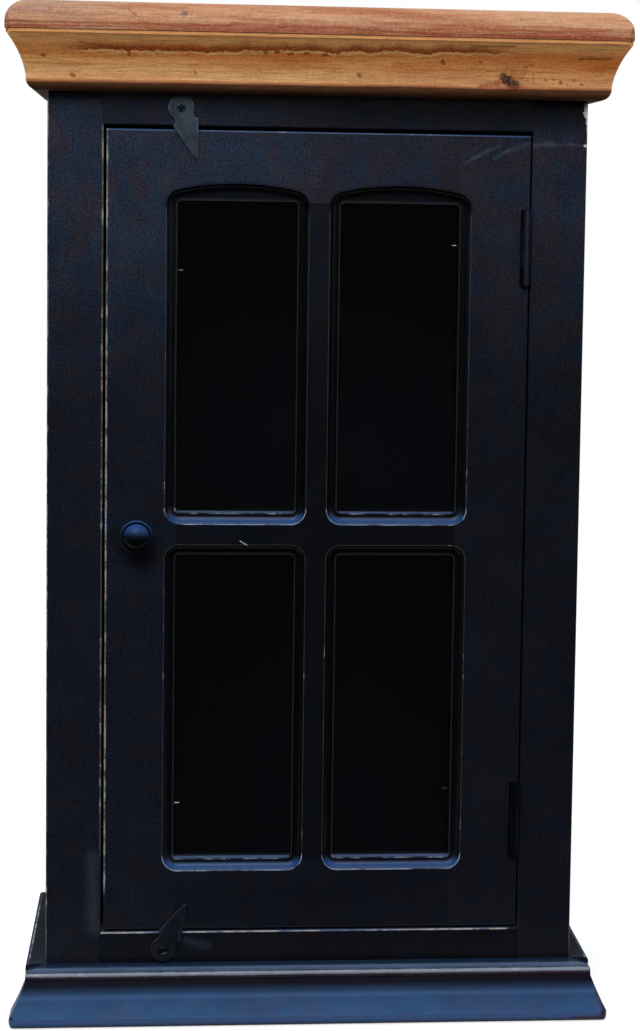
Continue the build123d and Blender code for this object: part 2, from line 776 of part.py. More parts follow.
def leaf_screws(hinge_z, wall_x, way):
    """The two countersunk screws of one leaf."""
    screw = screw_solid(
        hinge_screw_radius + leaf_thickness, leaf_thickness, hinge_screw_radius,
        hinge_screw_length, countersunk=True,
    )
    with BuildPart() as screws:
        for screw_z in screw_heights(hinge_z):
            with Locations(Plane((wall_x + way * leaf_thickness, leaf_screw_y, screw_z), z_dir=(way, 0, 0))):
                add(screw)
    return screws


leaf_walls = {"frame": (opening_half, -1), "door": (hinge_x - barrel_radius, 1)}
for name, hinge_z in hinge_heights.items():
    for carrier, (wall_x, way) in leaf_walls.items():
        save(hinge_leaf(hinge_z, wall_x, way, carrier == "frame"), f"{name}_hinge_{carrier}_leaf")
        save(leaf_screws(hinge_z, wall_x, way), f"{name}_hinge_{carrier}_screws")
    with BuildPart() as hinge_pin:
        with Locations((hinge_x, hinge_y, hinge_z)):
            Cylinder(hinge_pin_radius, hinge_height)
    save(hinge_pin, f"{name}_hinge_pin")



# Turn buttons: an eye on a screw, a neck and a pointed leaf
def turn_button(x, z, turn):
    """Forged button whose leaf points up at turn 0; turn is counter-clockwise as seen from in front."""
    shoulder_z = button_eye_radius + button_shoulder_drop
    across = (math.cos(math.radians(turn)), 0, math.sin(math.radians(turn)))
    eye = Plane((x, button_back_y, z), x_dir=across, z_dir=(0, -1, 0))
    with BuildPart() as button:
        with BuildSketch(eye) as outline:
            Circle(button_eye_radius)
            with Locations((0, shoulder_z / 2)):
                Rectangle(2 * button_neck, shoulder_z)
            with BuildLine():
                Polyline(
                    (-button_half_width, shoulder_z),
                    (button_half_width, shoulder_z),
                    (0, button_length),
                    close=True,
                )
            make_face()
            shoulders = outline.vertices().filter_by(
                lambda corner: abs(corner.X) > (button_neck + button_half_width) / 2
            )
            fillet(shoulders, button_shoulder_radius)
            fillet(outline.vertices().sort_by(Axis.Y)[-1], button_point_radius)
        extrude(amount=button_thickness)
        chamfer(button.faces().sort_by(Axis.Y)[0].edges(), button_bevel)
        with Locations(eye):
            Hole(screw_radius + button_fit)
    return button


for name, (button_x, button_z, turn) in button_places.items():
    save(turn_button(button_x, button_z, turn), f"{name}_turn_button")
    with BuildPart() as button_screw:
        seat = Plane((button_x, button_front_y - button_fit, button_z), z_dir=(0, -1, 0))
        with Locations(seat):
            add(
                screw_solid(
                    screw_head_radius, screw_head_height, screw_radius,
                    button_screw_length + button_standoff + button_thickness,
                )
            )
    save(button_screw, f"{name}_button_screw")
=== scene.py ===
import math

import bpy
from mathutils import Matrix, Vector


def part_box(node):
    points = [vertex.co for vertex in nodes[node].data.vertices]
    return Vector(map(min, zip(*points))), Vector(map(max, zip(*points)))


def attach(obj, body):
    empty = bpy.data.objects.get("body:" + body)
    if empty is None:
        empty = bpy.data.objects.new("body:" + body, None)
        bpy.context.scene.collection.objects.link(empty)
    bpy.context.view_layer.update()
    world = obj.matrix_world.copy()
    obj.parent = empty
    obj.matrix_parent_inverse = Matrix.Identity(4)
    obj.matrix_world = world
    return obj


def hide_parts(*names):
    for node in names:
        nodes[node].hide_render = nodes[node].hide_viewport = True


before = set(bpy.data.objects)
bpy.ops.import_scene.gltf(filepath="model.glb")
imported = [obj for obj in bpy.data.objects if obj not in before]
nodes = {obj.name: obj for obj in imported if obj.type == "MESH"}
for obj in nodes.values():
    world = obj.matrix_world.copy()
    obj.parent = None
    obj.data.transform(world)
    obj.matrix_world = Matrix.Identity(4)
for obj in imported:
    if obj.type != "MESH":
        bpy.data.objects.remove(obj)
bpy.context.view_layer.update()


# -------------------- carcass sides
# Two flat pine sides, brushed with thin black paint that has a navy cast. They are
# housed for the boards and glued behind the face frame.
def tone(red, green, blue):
    """A colour read as 0 to 255 steps on a paint card, as linear light."""
    def channel(step):
        share = step / 255
        return share / 12.92 if share <= 0.04045 else ((share + 0.055) / 1.055) ** 2.4
    return (channel(red), channel(green), channel(blue), 1.0)


def feed(tree, socket, value):
    """Joins a socket to another node's output, or gives it a plain value."""
    if isinstance(value, bpy.types.NodeSocket):
        tree.links.new(value, socket)
    else:
        socket.default_value = value


def fill(tree, node, **values):
    """Feeds a node's sockets by name. A space in a name is written _."""
    for name, value in values.items():
        feed(tree, node.inputs[name.replace("_", " ")], value)


def maths(tree, operation, *values, clamp=False):
    sum_node = tree.nodes.new("ShaderNodeMath")
    sum_node.operation = operation
    sum_node.use_clamp = clamp
    for socket, value in zip(sum_node.inputs, values):
        feed(tree, socket, value)
    return sum_node.outputs[0]


def times(tree, first, *others, clamp=False):
    for other in others:
        first = maths(tree, "MULTIPLY", first, other, clamp=clamp)
    return first


def plus(tree, first, second, clamp=False):
    return maths(tree, "ADD", first, second, clamp=clamp)


def minus(tree, first, second, clamp=False):
    return maths(tree, "SUBTRACT", first, second, clamp=clamp)


def vectors(tree, operation, first, second=(0.0, 0.0, 0.0)):
    vector_node = tree.nodes.new("ShaderNodeVectorMath")
    vector_node.operation = operation
    feed(tree, vector_node.inputs[0], first)
    feed(tree, vector_node.inputs[1], second)
    return vector_node.outputs["Value" if operation in ("LENGTH", "DOT_PRODUCT") else "Vector"]


def apart(tree, place):
    """The X, Y and Z of a place."""
    split = tree.nodes.new("ShaderNodeSeparateXYZ")
    feed(tree, split.inputs[0], place)
    return split.outputs


def fade(tree, value, full, none):
    """1 where value is full, 0 where it is none, eased between."""
    ramp = tree.nodes.new("ShaderNodeMapRange")
    ramp.interpolation_type = "SMOOTHSTEP"
    fill(tree, ramp, Value=value, From_Min=full, From_Max=none, To_Min=1.0, To_Max=0.0)
    return ramp.outputs["Result"]


def cloud(tree, place, scale, detail=3.0, roughness=0.55, distortion=0.0):
    noise = tree.nodes.new("ShaderNodeTexNoise")
    fill(tree, noise, Vector=place, Scale=scale, Detail=detail, Roughness=roughness, Distortion=distortion)
    return noise.outputs["Fac"]


def blend(tree, share, first, second):
    mixer = tree.nodes.new("ShaderNodeMix")
    mixer.data_type = "RGBA"
    feed(tree, mixer.inputs[0], share)
    feed(tree, mixer.inputs[6], first)
    feed(tree, mixer.inputs[7], second)
    return mixer.outputs[2]


def over(tree, colour, mask, level, upper_colour):
    """Lays one colour over another where the mask is, at a level of 0 to 1."""
    return blend(tree, times(tree, mask, level), colour, upper_colour)


def effect(title, inputs, outputs, places=()):
    """An empty shader group with its sockets, what comes in, and the node that puts out.

    An input that starts as a number is a Float, and any other is a Vector. Outputs are
    Floats, and places are Vector outputs.
    """
    group = bpy.data.node_groups.new(title, "ShaderNodeTree")
    for name, start in inputs.items():
        kind = "Float" if isinstance(start, float) else "Vector"
        socket = group.interface.new_socket(name, in_out="INPUT", socket_type="NodeSocket" + kind)
        if start is not None:
            socket.default_value = start
    for name in (*places, *outputs):
        kind = "Vector" if name in places else "Float"
        group.interface.new_socket(name, in_out="OUTPUT", socket_type="NodeSocket" + kind)
    return group, group.nodes.new("NodeGroupInput").outputs, group.nodes.new("NodeGroupOutput")


def use(tree, group, **values):
    """Places a group in a material and returns its outputs."""
    placed = tree.nodes.new("ShaderNodeGroup")
    placed.node_tree = group
    fill(tree, placed, **values)
    return placed.outputs


def finish_of(title):
    """A new material with its tree, its surface, and the place on the piece in metres."""
    material = bpy.data.materials.new(title)
    material.use_nodes = True
    tree = material.node_tree
    place = tree.nodes.new("ShaderNodeTexCoord").outputs["Object"]
    return material, tree, tree.nodes["Principled BSDF"], place


def relief(tree, surface, height, strength, distance):
    bump = tree.nodes.new("ShaderNodeBump")
    fill(tree, bump, Strength=strength, Distance=distance, Height=height)
    fill(tree, surface, Normal=bump.outputs["Normal"])


# Brushed paint: soft clouds of thick and thin paint, fine drag marks along the brush,
# small specks, and a slow change of hue between brown and blue
brushed, inside, out = effect(
    "brushed paint", {"Place": None, "Brush": None, "Seed": 0.0}, ("Cloud", "Drag", "Grain", "Speck", "Hue")
)
moved = vectors(brushed, "ADD", inside["Place"], inside["Seed"])
drawn = vectors(brushed, "MULTIPLY", moved, inside["Brush"])
fill(
    brushed, out,
    Cloud=cloud(brushed, moved, 24.0, detail=5.0, roughness=0.62, distortion=0.6),
    Drag=cloud(brushed, drawn, 420.0, detail=3.0, roughness=0.65),
    Grain=cloud(brushed, moved, 640.0, detail=2.0, roughness=0.6),
    Speck=fade(brushed, cloud(brushed, moved, 330.0, detail=1.0), 0.80, 0.70),
    Hue=cloud(brushed, moved, 52.0, detail=3.0, roughness=0.60),
)

# Rubbed edge: a broken line along an edge. Point is on the edge, Across leaves out the
# edge's own direction, Worn is the share that is bare and Faint what shows all along
rubbed, inside, out = effect("rubbed edge", {
    "Place": None, "Point": None, "Across": None, "Noise Place": None,
    "Width": 0.0006, "Worn": 0.5, "Faint": 0.05, "Length": 60.0,
}, ["Mask"])
away = vectors(rubbed, "SUBTRACT", inside["Place"], inside["Point"])
gap = vectors(rubbed, "LENGTH", vectors(rubbed, "MULTIPLY", away, inside["Across"]))
patches = cloud(rubbed, inside["Noise Place"], inside["Length"], detail=5.0, roughness=0.72)
reach = plus(rubbed, patches, minus(rubbed, inside["Worn"], 0.5))
bare_share = maths(rubbed, "MAXIMUM", fade(rubbed, reach, 0.62, 0.42), inside["Faint"])
spread = plus(rubbed, times(rubbed, patches, 1.2), 0.4)
wide = times(rubbed, inside["Width"], spread)
shape = fade(rubbed, gap, times(rubbed, wide, 0.4), wide)
fill(rubbed, out, Mask=times(rubbed, shape, bare_share))

# Stroke: a mark on a front face from one place to another, such as a scratch, a scuff,
# a speck or a knot, with a ragged outline
stroke, inside, out = effect("stroke", {
    "Place": None, "From": None, "To": None, "Across": None, "Width": 0.001, "Ragged": 0.0, "Soft": 0.5,
}, ["Mask"])
run = vectors(stroke, "SUBTRACT", inside["To"], inside["From"])
toward = vectors(stroke, "SUBTRACT", inside["Place"], inside["From"])
run_squared = vectors(stroke, "DOT_PRODUCT", run, run)
along = maths(stroke, "DIVIDE", vectors(stroke, "DOT_PRODUCT", toward, run), run_squared, clamp=True)
off = vectors(stroke, "SUBTRACT", toward, vectors(stroke, "MULTIPLY", run, along))
far = vectors(stroke, "LENGTH", vectors(stroke, "MULTIPLY", off, inside["Across"]))
far = plus(stroke, far, times(stroke, inside["Ragged"], inside["Width"]))
core = times(stroke, inside["Width"], minus(stroke, 1.0, inside["Soft"]))
fill(stroke, out, Mask=fade(stroke, far, core, inside["Width"]))

# Skyward: how much a surface faces up, where dust settles and where a bluish sky sheen
# is painted in as light. Slope is for leaning surfaces and Flat for level ones
skyward, inside, out = effect("skyward", {"Start": 0.12, "Full": 0.62}, ("Slope", "Flat"))
facing = skyward.nodes.new("ShaderNodeNewGeometry").outputs["Normal"]
upness = vectors(skyward, "DOT_PRODUCT", facing, (0.0, 0.0, 1.0))
slope = fade(skyward, upness, inside["Full"], inside["Start"])
fill(skyward, out, Slope=slope, Flat=fade(skyward, upness, 0.98, 0.75))


def strokes(stroke_colour, *rows):
    """Marks of one colour, each x, z, x, z, width and strength, and its softness if not a half.

    The places and the width are in millimetres.
    """
    return [(stroke_colour, *row) for row in rows]


def with_strokes(tree, colour, place, ragged, marks, depth=None):
    """Lays strokes over a colour, and near one depth in Y only, where that is given."""
    y, y_share = (0.0, 0.0) if depth is None else (depth, 1.0)
    for stroke_colour, x1, z1, x2, z2, width, strength, *soft in marks:
        mask = use(
            tree, stroke, Place=place, From=(x1 / 1000, y, z1 / 1000), To=(x2 / 1000, y, z2 / 1000),
            Across=(1.0, y_share, 1.0), Width=width / 1000, Ragged=ragged, Soft=soft[0] if soft else 0.5,
        )["Mask"]
        colour = over(tree, colour, mask, strength, stroke_colour)
    return colour


half_width = 0.180
face_y, back_y = -0.075, 0.1015
across_x, across_y, across_z = (0.0, 1.0, 1.0), (1.0, 0.0, 1.0), (1.0, 1.0, 0.0)


def upright_line(x, *look, y=face_y):
    """An edge or a crease up a front or back face, with its width and how it looks."""
    return ((x, y, 0.0), across_z, *look)


def level_line(z, *look, out=0.0):
    """An edge or a crease along a front face, or so far in front of it."""
    return ((0.0, face_y - out, z), across_x, *look)


along_x, along_y, along_z = (0.20, 1.0, 1.0), (1.0, 0.20, 1.0), (1.0, 1.0, 0.20)
paint_deep, painted_shade_black = tone(6, 6, 10), tone(3, 3, 4)
paint_thin_and_lit = tone(46, 53, 68)
paint_warm, paint_teal = (1.27, 0.90, 0.84, 1.0), (0.76, 0.99, 1.15, 1.0)
paint_sky_sheen = tone(34, 66, 114)
sheen_warm, sheen_teal = (1.16, 0.97, 0.96, 1.0), (0.89, 1.03, 1.05, 1.0)
ledge_dust_and_sheen = tone(66, 82, 110)
lit_arris = tone(138, 154, 178)
undercoat_pale, undercoat_red = tone(160, 156, 148), tone(124, 70, 52)
lit_from_left_x, lit_from_above_z = (-0.060, 0.040), (0.60, 0.40)
cornice_shadow_z = (0.616, 0.598)


def thin_and_lit_share(tree, coat, where, leftward, thin):
    """How thin the paint is, with light painted in: lighter high up and to the left,
    and a painted shadow under the cornice, deeper on the right.
    """
    # Painted light, stronger high up and towards the left
    by_height = plus(tree, times(tree, fade(tree, where["Z"], *lit_from_above_z), 0.40), 0.185)
    by_side = plus(tree, times(tree, leftward, 0.30), 0.86)
    # Painted shadow under the cornice, deeper on the right
    cornice_shadow = times(tree, minus(tree, 0.72, times(tree, leftward, 0.45)), fade(tree, where["Z"], *cornice_shadow_z))
    share = times(tree, by_height, by_side, minus(tree, 1.0, cornice_shadow), thin)
    for name, contrast in (("Cloud", 1.0), ("Drag", 0.7), ("Grain", 3.2)):
        share = times(tree, share, plus(tree, times(tree, coat[name], contrast), 1.0 - contrast / 2))
    return plus(tree, share, times(tree, coat["Speck"], 0.12 * thin), clamp=True)


def rubbed_share(tree, place, where, lines):
    """Where the paint is rubbed through. Each line brings its own place and extra wear."""
    wear = 0.0
    for line_place, extra, point, across, width, worn, faint, *span in lines:
        mask = use(
            tree, rubbed, Place=line_place, Point=point, Across=across, Noise_Place=place,
            Width=width, Worn=plus(tree, extra, worn), Faint=faint, Length=75.0,
        )["Mask"]
        for low_end, high_end in span:
            above_low = fade(tree, where["Z"], low_end + 0.012, low_end - 0.006)
            mask = times(tree, mask, above_low, maths(tree, "LESS_THAN", where["Z"], high_end))
        wear = maths(tree, "MAXIMUM", wear, mask)
    return wear


def painted(
    title, brush, seed, edges=(), panes=False, thin=1.0, dust_and_sheen=ledge_dust_and_sheen, sky_sheen=paint_sky_sheen, ruddy=0.25,
    creases=(), marks=(), mark_depth=face_y, matt=0.0, shine=0.15, painted_shade_span=None, start=0.12,
):
    """Black paint over pale undercoat, with light painted in: lighter towards the top left.

    Each edge is (point, across, width, worn, faint), and where it is short also (lowest, highest).
    Each crease is (point, across, width, strength, colour). Marks are strokes. The span of
    painted shade is where an underside is darkened as painted shade, from a clear height to a shaded one.
    """
    material, tree, surface, place = finish_of(title)
    coat = use(tree, brushed, Place=place, Brush=brush, Seed=seed)
    where = apart(tree, place)
    leftward = fade(tree, where["X"], *lit_from_left_x)
    colour = blend(tree, thin_and_lit_share(tree, coat, where, leftward, thin), paint_deep, paint_thin_and_lit)
    bluer = plus(tree, coat["Hue"], times(tree, leftward, 0.07))
    tint = blend(tree, fade(tree, bluer, 0.66, 0.40), paint_warm, paint_teal)
    colour = vectors(tree, "MULTIPLY", colour, tint)
    up = use(tree, skyward, Start=start)
    uneven = plus(tree, times(tree, coat["Cloud"], 0.7), 0.55, clamp=True)
    lit = times(tree, up["Slope"], uneven)
    # Painted shade on an underside: darker paint, and no sky sheen, past the span
    if painted_shade_span:
        clear_of_shade = fade(tree, where["Z"], *painted_shade_span)
        colour = blend(tree, clear_of_shade, painted_shade_black, colour)
        lit = times(tree, lit, clear_of_shade)
    # Painted light: a bluish sky sheen laid on surfaces as far as they face up
    sheen_tint = blend(tree, fade(tree, bluer, 0.62, 0.42), sheen_warm, sheen_teal)
    colour = blend(tree, lit, colour, vectors(tree, "MULTIPLY", sheen_tint, sky_sheen[:3]))
    # Dust, with a painted sky sheen, on level tops
    colour = over(tree, colour, up["Flat"], uneven, dust_and_sheen)
    lines = [(place, 0.0, *edge) for edge in edges]
    if panes:
        round_panes = use(tree, routed, Place=place)
        foot, head = round_panes["Foot"], round_panes["Head"]
        # Painted shade in the hollow of the pane moulding, wider in the arched heads, none at a pane's foot
        hollow = times(tree, round_panes["Hollow"], minus(tree, 1.0, foot))
        colour = over(tree, colour, hollow, 0.85, painted_shade_black)
        foot_extra = times(tree, foot, 0.20)
        head_less = minus(tree, foot_extra, times(tree, head, 0.6))
        arris_faint = times(tree, minus(tree, 1.0, head), 0.09)
        arris_at, bead_at = (moulding_width, face_y, 0.0), (bead_width, bead_top_y, 0.0)
        lines.append((round_panes["Arris"], head_less, arris_at, across_z, 0.0007, 0.36, arris_faint))
        lines.append((round_panes["Bead"], foot_extra, bead_at, across_z, 0.0006, 0.26, 0.05))
    wear = rubbed_share(tree, place, where, lines)
    red_share = times(tree, fade(tree, cloud(tree, place, 95.0), 0.60, 0.46), ruddy)
    bare = blend(tree, red_share, undercoat_pale, undercoat_red)
    # Painted highlight on the worn arris at the foot of each pane
    if panes:
        bare = blend(tree, foot, bare, lit_arris)
    colour = blend(tree, wear, colour, bare)
    for point, across, width, strength, crease_colour in creases:
        mask = use(
            tree, rubbed, Place=place, Point=point, Across=across, Noise_Place=place,
            Width=width, Worn=1.0, Faint=1.0,
        )["Mask"]
        colour = over(tree, colour, mask, strength, crease_colour)
    ragged = minus(tree, cloud(tree, place, 700.0, detail=2.0), 0.5)
    colour = with_strokes(tree, colour, place, ragged, marks, depth=mark_depth)
    gloss = plus(tree, times(tree, coat["Cloud"], 0.16), 0.25 + matt)
    gloss = plus(tree, gloss, times(tree, wear, 0.3))
    height = plus(tree, coat["Drag"], times(tree, coat["Cloud"], 0.6))
    height = minus(tree, height, times(tree, wear, 0.5))
    fill(tree, surface, Base_Color=colour, Roughness=gloss, Specular_IOR_Level=shine)
    relief(tree, surface, height, 0.18, 0.0004)
    return material


def dress(material, *names):
    """Gives CAD nodes a finish in place of their plain one."""
    for name in names:
        mesh = nodes[name].data
        mesh.materials.clear()
        mesh.materials.append(material)


side_paint = painted(
    "black paint on the sides", along_z, 3.1,
    edges=[upright_line(x, 0.0009, 0.40, 0.05, y=back_y) for x in (-half_width, half_width)],
)
dress(side_paint, "left_side", "right_side")


# -------------------- inside boards
# Floor, ceiling, shelf and plywood back, stained near black before the case was
# glued up, so that the thimbles stand out. The stain is matt and thin on the grain.
stain_deep, stain_thin = tone(2, 2, 9), tone(16, 15, 34)
veneer_light, veneer_dark = tone(58, 45, 36), tone(26, 21, 19)


def stained(title, brush, seed, outer=None):
    """The inside stain. Outer is where a board's bare outer face starts, in Y."""
    material, tree, surface, place = finish_of(title)
    coat = use(tree, brushed, Place=place, Brush=brush, Seed=seed)
    share = plus(tree, times(tree, coat["Drag"], 0.6), times(tree, coat["Cloud"], 0.4))
    colour = blend(tree, share, stain_deep, stain_thin)
    if outer:
        figure = plus(tree, fade(tree, coat["Drag"], 0.64, 0.40), times(tree, coat["Cloud"], 0.5))
        veneer = blend(tree, times(tree, figure, 0.7, clamp=True), veneer_light, veneer_dark)
        outer_face = fade(tree, apart(tree, place)["Y"], outer, outer - 0.0005)
        colour = blend(tree, outer_face, colour, veneer)
    fill(tree, surface, Base_Color=colour, Roughness=0.75, Specular_IOR_Level=0.2)
    relief(tree, surface, coat["Drag"], 0.2, 0.0003)
    return material


dress(stained("inside stain along the boards", along_x, 7.7), "floor_board", "ceiling_board", "shelf")
dress(stained("stain on the plywood back", (1.0, 1.0, 0.05), 9.2, outer=back_y - 0.0003), "back_panel")


# -------------------- face frame
# Four pine members glued to the carcass front, painted black. The door has rubbed
# the paint off the inner edges, and the bottom rail is worn where fingers reach in.
opening_left, opening_right = -0.143, 0.143
opening_low, opening_high = 0.0594, 0.6056
chip_white, scuff_grey = tone(196, 198, 200), tone(74, 82, 98)
finger_grey, cornice_shadow_fill = tone(70, 74, 82), tone(80, 79, 78)
dress(
    painted("black paint on the left stile", along_z, 1.3, edges=[
        upright_line(opening_left, 0.0013, 0.46, 0.24, (0.112, opening_high)),
        upright_line(-half_width, 0.0010, 0.50, 0.16),
    ], marks=strokes(finger_grey, (-147.6, 62.0, -148.6, 112.0, 8.0, 0.26, 1.0))),
    "frame_left_stile",
)
dress(
    painted("black paint on the right stile", along_z, 2.6, edges=[
        upright_line(opening_right, 0.0005, 0.24, 0.03, (opening_low, opening_high)),
        upright_line(half_width, 0.0006, 0.34, 0.05),
    ], marks=strokes(
        scuff_grey,
        (144.0, 597.0, 156.0, 598.4, 2.6, 0.34, 1.0), (152.0, 596.6, 170.0, 598.4, 1.8, 0.24, 1.0),
        (168.0, 597.8, 180.0, 597.0, 1.4, 0.30, 1.0),
    ) + strokes(
        chip_white,
        (178.4, 597.2, 180.0, 597.0, 1.2, 0.95), (178.2, 625.0, 178.8, 616.6, 1.3, 0.9),
        (179.2, 624.0, 180.0, 612.0, 1.5, 0.9), (177.6, 619.0, 179.6, 617.0, 1.3, 0.8),
        (179.8, 610.0, 180.0, 604.0, 0.8, 0.7),
    )),
    "frame_right_stile",
)
# A soft grey band along the top of this rail is painted light, lifting the painted shadow under the cornice
dress(
    painted("black paint on the frame top rail", along_x, 4.9, thin=0.62,
            edges=[level_line(opening_high, 0.0005, 0.28, 0.04)],
            marks=strokes(cornice_shadow_fill, (-180.0, 625.6, 180.0, 625.6, 5.0, 0.6, 1.0))),
    "frame_top_rail",
)
dress(
    painted("black paint on the frame bottom rail", along_x, 5.7, thin=0.35, ruddy=0.4,
            edges=[level_line(opening_low, 0.0010, 0.55, 0.22)],
            marks=strokes(scuff_grey, (-84.0, 53.0, -70.0, 49.0, 5.0, 0.16, 1.0))
            + strokes(paint_deep, (138.0, 59.4, 143.0, 59.4, 2.0, 1.0))),
    "frame_bottom_rail",
)


# -------------------- plinth
# A flared moulding with a flat ledge runs across the front, and two plain boards with
# a rounded top edge butt behind it. Dust lies on the ledge and its edges are worn.
# Shade is painted under the ledge, at its back and along the foot, and a bluish sheen
# and highlights are painted on the ledge, the nose, the flare and the foot.
ledge_z, ledge_out, nose_z = 0.038, 0.013, 0.0350
worn_brown, nose_highlight, ledge_sheen = tone(56, 42, 50), tone(150, 160, 176), tone(104, 122, 146)
ledge_back_shadow, under_ledge_shade, foot_bottom_shade = tone(5, 24, 44), tone(27, 24, 38), tone(26, 29, 40)
flare_highlight, foot_sky_sheen, corner_brown = tone(66, 94, 138), tone(54, 76, 114), tone(26, 21, 27)
plinth_sky_sheen, side_dust_and_sheen = tone(54, 86, 129), tone(30, 33, 30)
dress(
    painted("black paint on the plinth front", along_x, 6.4, thin=0.42, ruddy=0.6, sky_sheen=plinth_sky_sheen, edges=[
        level_line(nose_z - 0.0010, 0.0014, 0.46, 0.12, out=ledge_out),
        level_line(ledge_z, 0.0008, 0.34, 0.08),
    ], creases=[
        # painted shadow at the back of the ledge, painted sheen on its middle, brown under the nose, painted
        # highlight on the nose
        level_line(ledge_z, 0.0084, 0.92, ledge_back_shadow),
        level_line(ledge_z, 0.0026, 0.50, ledge_sheen, out=0.0076),
        level_line(nose_z - 0.0026, 0.0022, 0.70, worn_brown, out=ledge_out),
        level_line(nose_z - 0.0009, 0.0020, 0.62, nose_highlight, out=ledge_out),
    ], marks=[
        # painted shade under the ledge, painted highlight on the flare, painted sheen and shade at the foot,
        # then brown and a pale line at the ends
        *strokes(under_ledge_shade, (-204.0, 29.5, 204.0, 29.5, 4.6, 0.45, 0.9)),
        *strokes(flare_highlight, (-204.0, 19.6, 204.0, 19.6, 2.6, 0.35, 1.0)),
        *strokes(foot_sky_sheen, (-204.0, 4.2, 204.0, 4.2, 3.0, 1.0, 0.3)),
        *strokes(foot_bottom_shade, (-204.0, 0.2, 204.0, 0.2, 1.6, 0.8, 0.9)),
        *strokes(worn_brown, (197.0, 19.0, 203.0, 5.0, 3.2, 0.75, 1.0)),
        *strokes(corner_brown, (200.0, 3.0, 203.5, 13.0, 3.6, 0.7, 1.0)),
        *strokes(worn_brown, (180.0, 2.2, 203.0, 3.2, 2.6, 0.8, 1.0)),
        *strokes(undercoat_pale, (-193.4, 34.0, -203.6, 7.0, 0.8, 0.45)),
    # the span of painted shade darkens the paint under the ledge, above the flare
    ], painted_shade_span=(0.0190, 0.0285), matt=0.12, shine=0.04, mark_depth=None),
    "plinth_front",
)
side_edge = half_width + 0.0115
dress(
    painted("black paint on the plinth sides", along_y, 8.8, dust_and_sheen=side_dust_and_sheen, matt=0.6, shine=0.08, edges=[
        ((side * side_edge, 0.0, ledge_z), across_y, 0.0007, 0.50, 0.15) for side in (-1, 1)
    ]),
    "plinth_left", "plinth_right",
)


# -------------------- cornice and top board
# A cove moulding under a solid board with a rounded nose, in oiled yellow pine that
# was left unpainted. The grain runs along each piece, with a few small knots.
grained, inside, out = effect(
    "pine grain", {"Place": None, "Length Way": None, "Seed": 0.0}, ("Bands", "Fibre", "Cloud", "Pores")
)
moved = vectors(grained, "ADD", inside["Place"], inside["Seed"])
lengthwise = vectors(grained, "MULTIPLY", moved, inside["Length Way"])
crosswise = vectors(grained, "SUBTRACT", moved, lengthwise)


def stretched(share):
    """The place on the piece, drawn out along the grain."""
    return vectors(grained, "ADD", crosswise, vectors(grained, "MULTIPLY", lengthwise, (share,) * 3))


fill(
    grained, out,
    Bands=cloud(grained, stretched(0.07), 230.0, detail=4.0, roughness=0.6, distortion=0.5),
    Fibre=cloud(grained, stretched(0.06), 1100.0, detail=4.0, roughness=0.7),
    Cloud=cloud(grained, stretched(0.16), 55.0, detail=5.0, roughness=0.65),
    Pores=cloud(grained, stretched(0.45), 1500.0, detail=2.0, roughness=0.7),
)

cove_light, cove_mid, cove_orange = tone(232, 171, 104), tone(204, 124, 56), tone(204, 108, 38)
cove_pale, cove_top_painted_light, fillet_tan = tone(238, 190, 134), tone(250, 184, 112), tone(214, 148, 92)
torn_brown, torn_pale, band_red = tone(138, 52, 3), tone(240, 192, 126), tone(140, 56, 30)
board_light, board_mid = tone(190, 142, 107), tone(160, 102, 68)
board_blush, board_grey = tone(166, 92, 62), tone(142, 122, 110)
wood_dark, foot_dirt_and_shade, fleck_brown = tone(98, 44, 20), tone(68, 39, 16), tone(104, 54, 22)
knot_purple, slate_grey = tone(40, 22, 28), tone(84, 76, 92)
cove_low, cove_high = 0.634, 0.664


def with_ribbons(tree, colour, place, *rows):
    """Wavering broken red bands along the grain of a front piece.

    Each is (height, slope, sway, half its width, seed, strength).
    """
    spot = apart(tree, place)
    for height, slope, sway, half, seed, level in rows:
        run_place = vectors(tree, "ADD", vectors(tree, "MULTIPLY", place, (1.0, 0.0, 0.25)), (seed,) * 3)
        waver = minus(tree, cloud(tree, run_place, 24.0, detail=4.0, roughness=0.6), 0.5)
        line = plus(tree, times(tree, spot["X"], slope), height)
        line = plus(tree, line, times(tree, waver, sway))
        off = maths(tree, "ABSOLUTE", minus(tree, spot["Z"], line))
        broken = fade(tree, cloud(tree, run_place, 15.0, detail=5.0, roughness=0.7), 0.56, 0.40)
        colour = over(tree, colour, times(tree, fade(tree, off, half * 0.2, half), broken), level, band_red)
    return colour


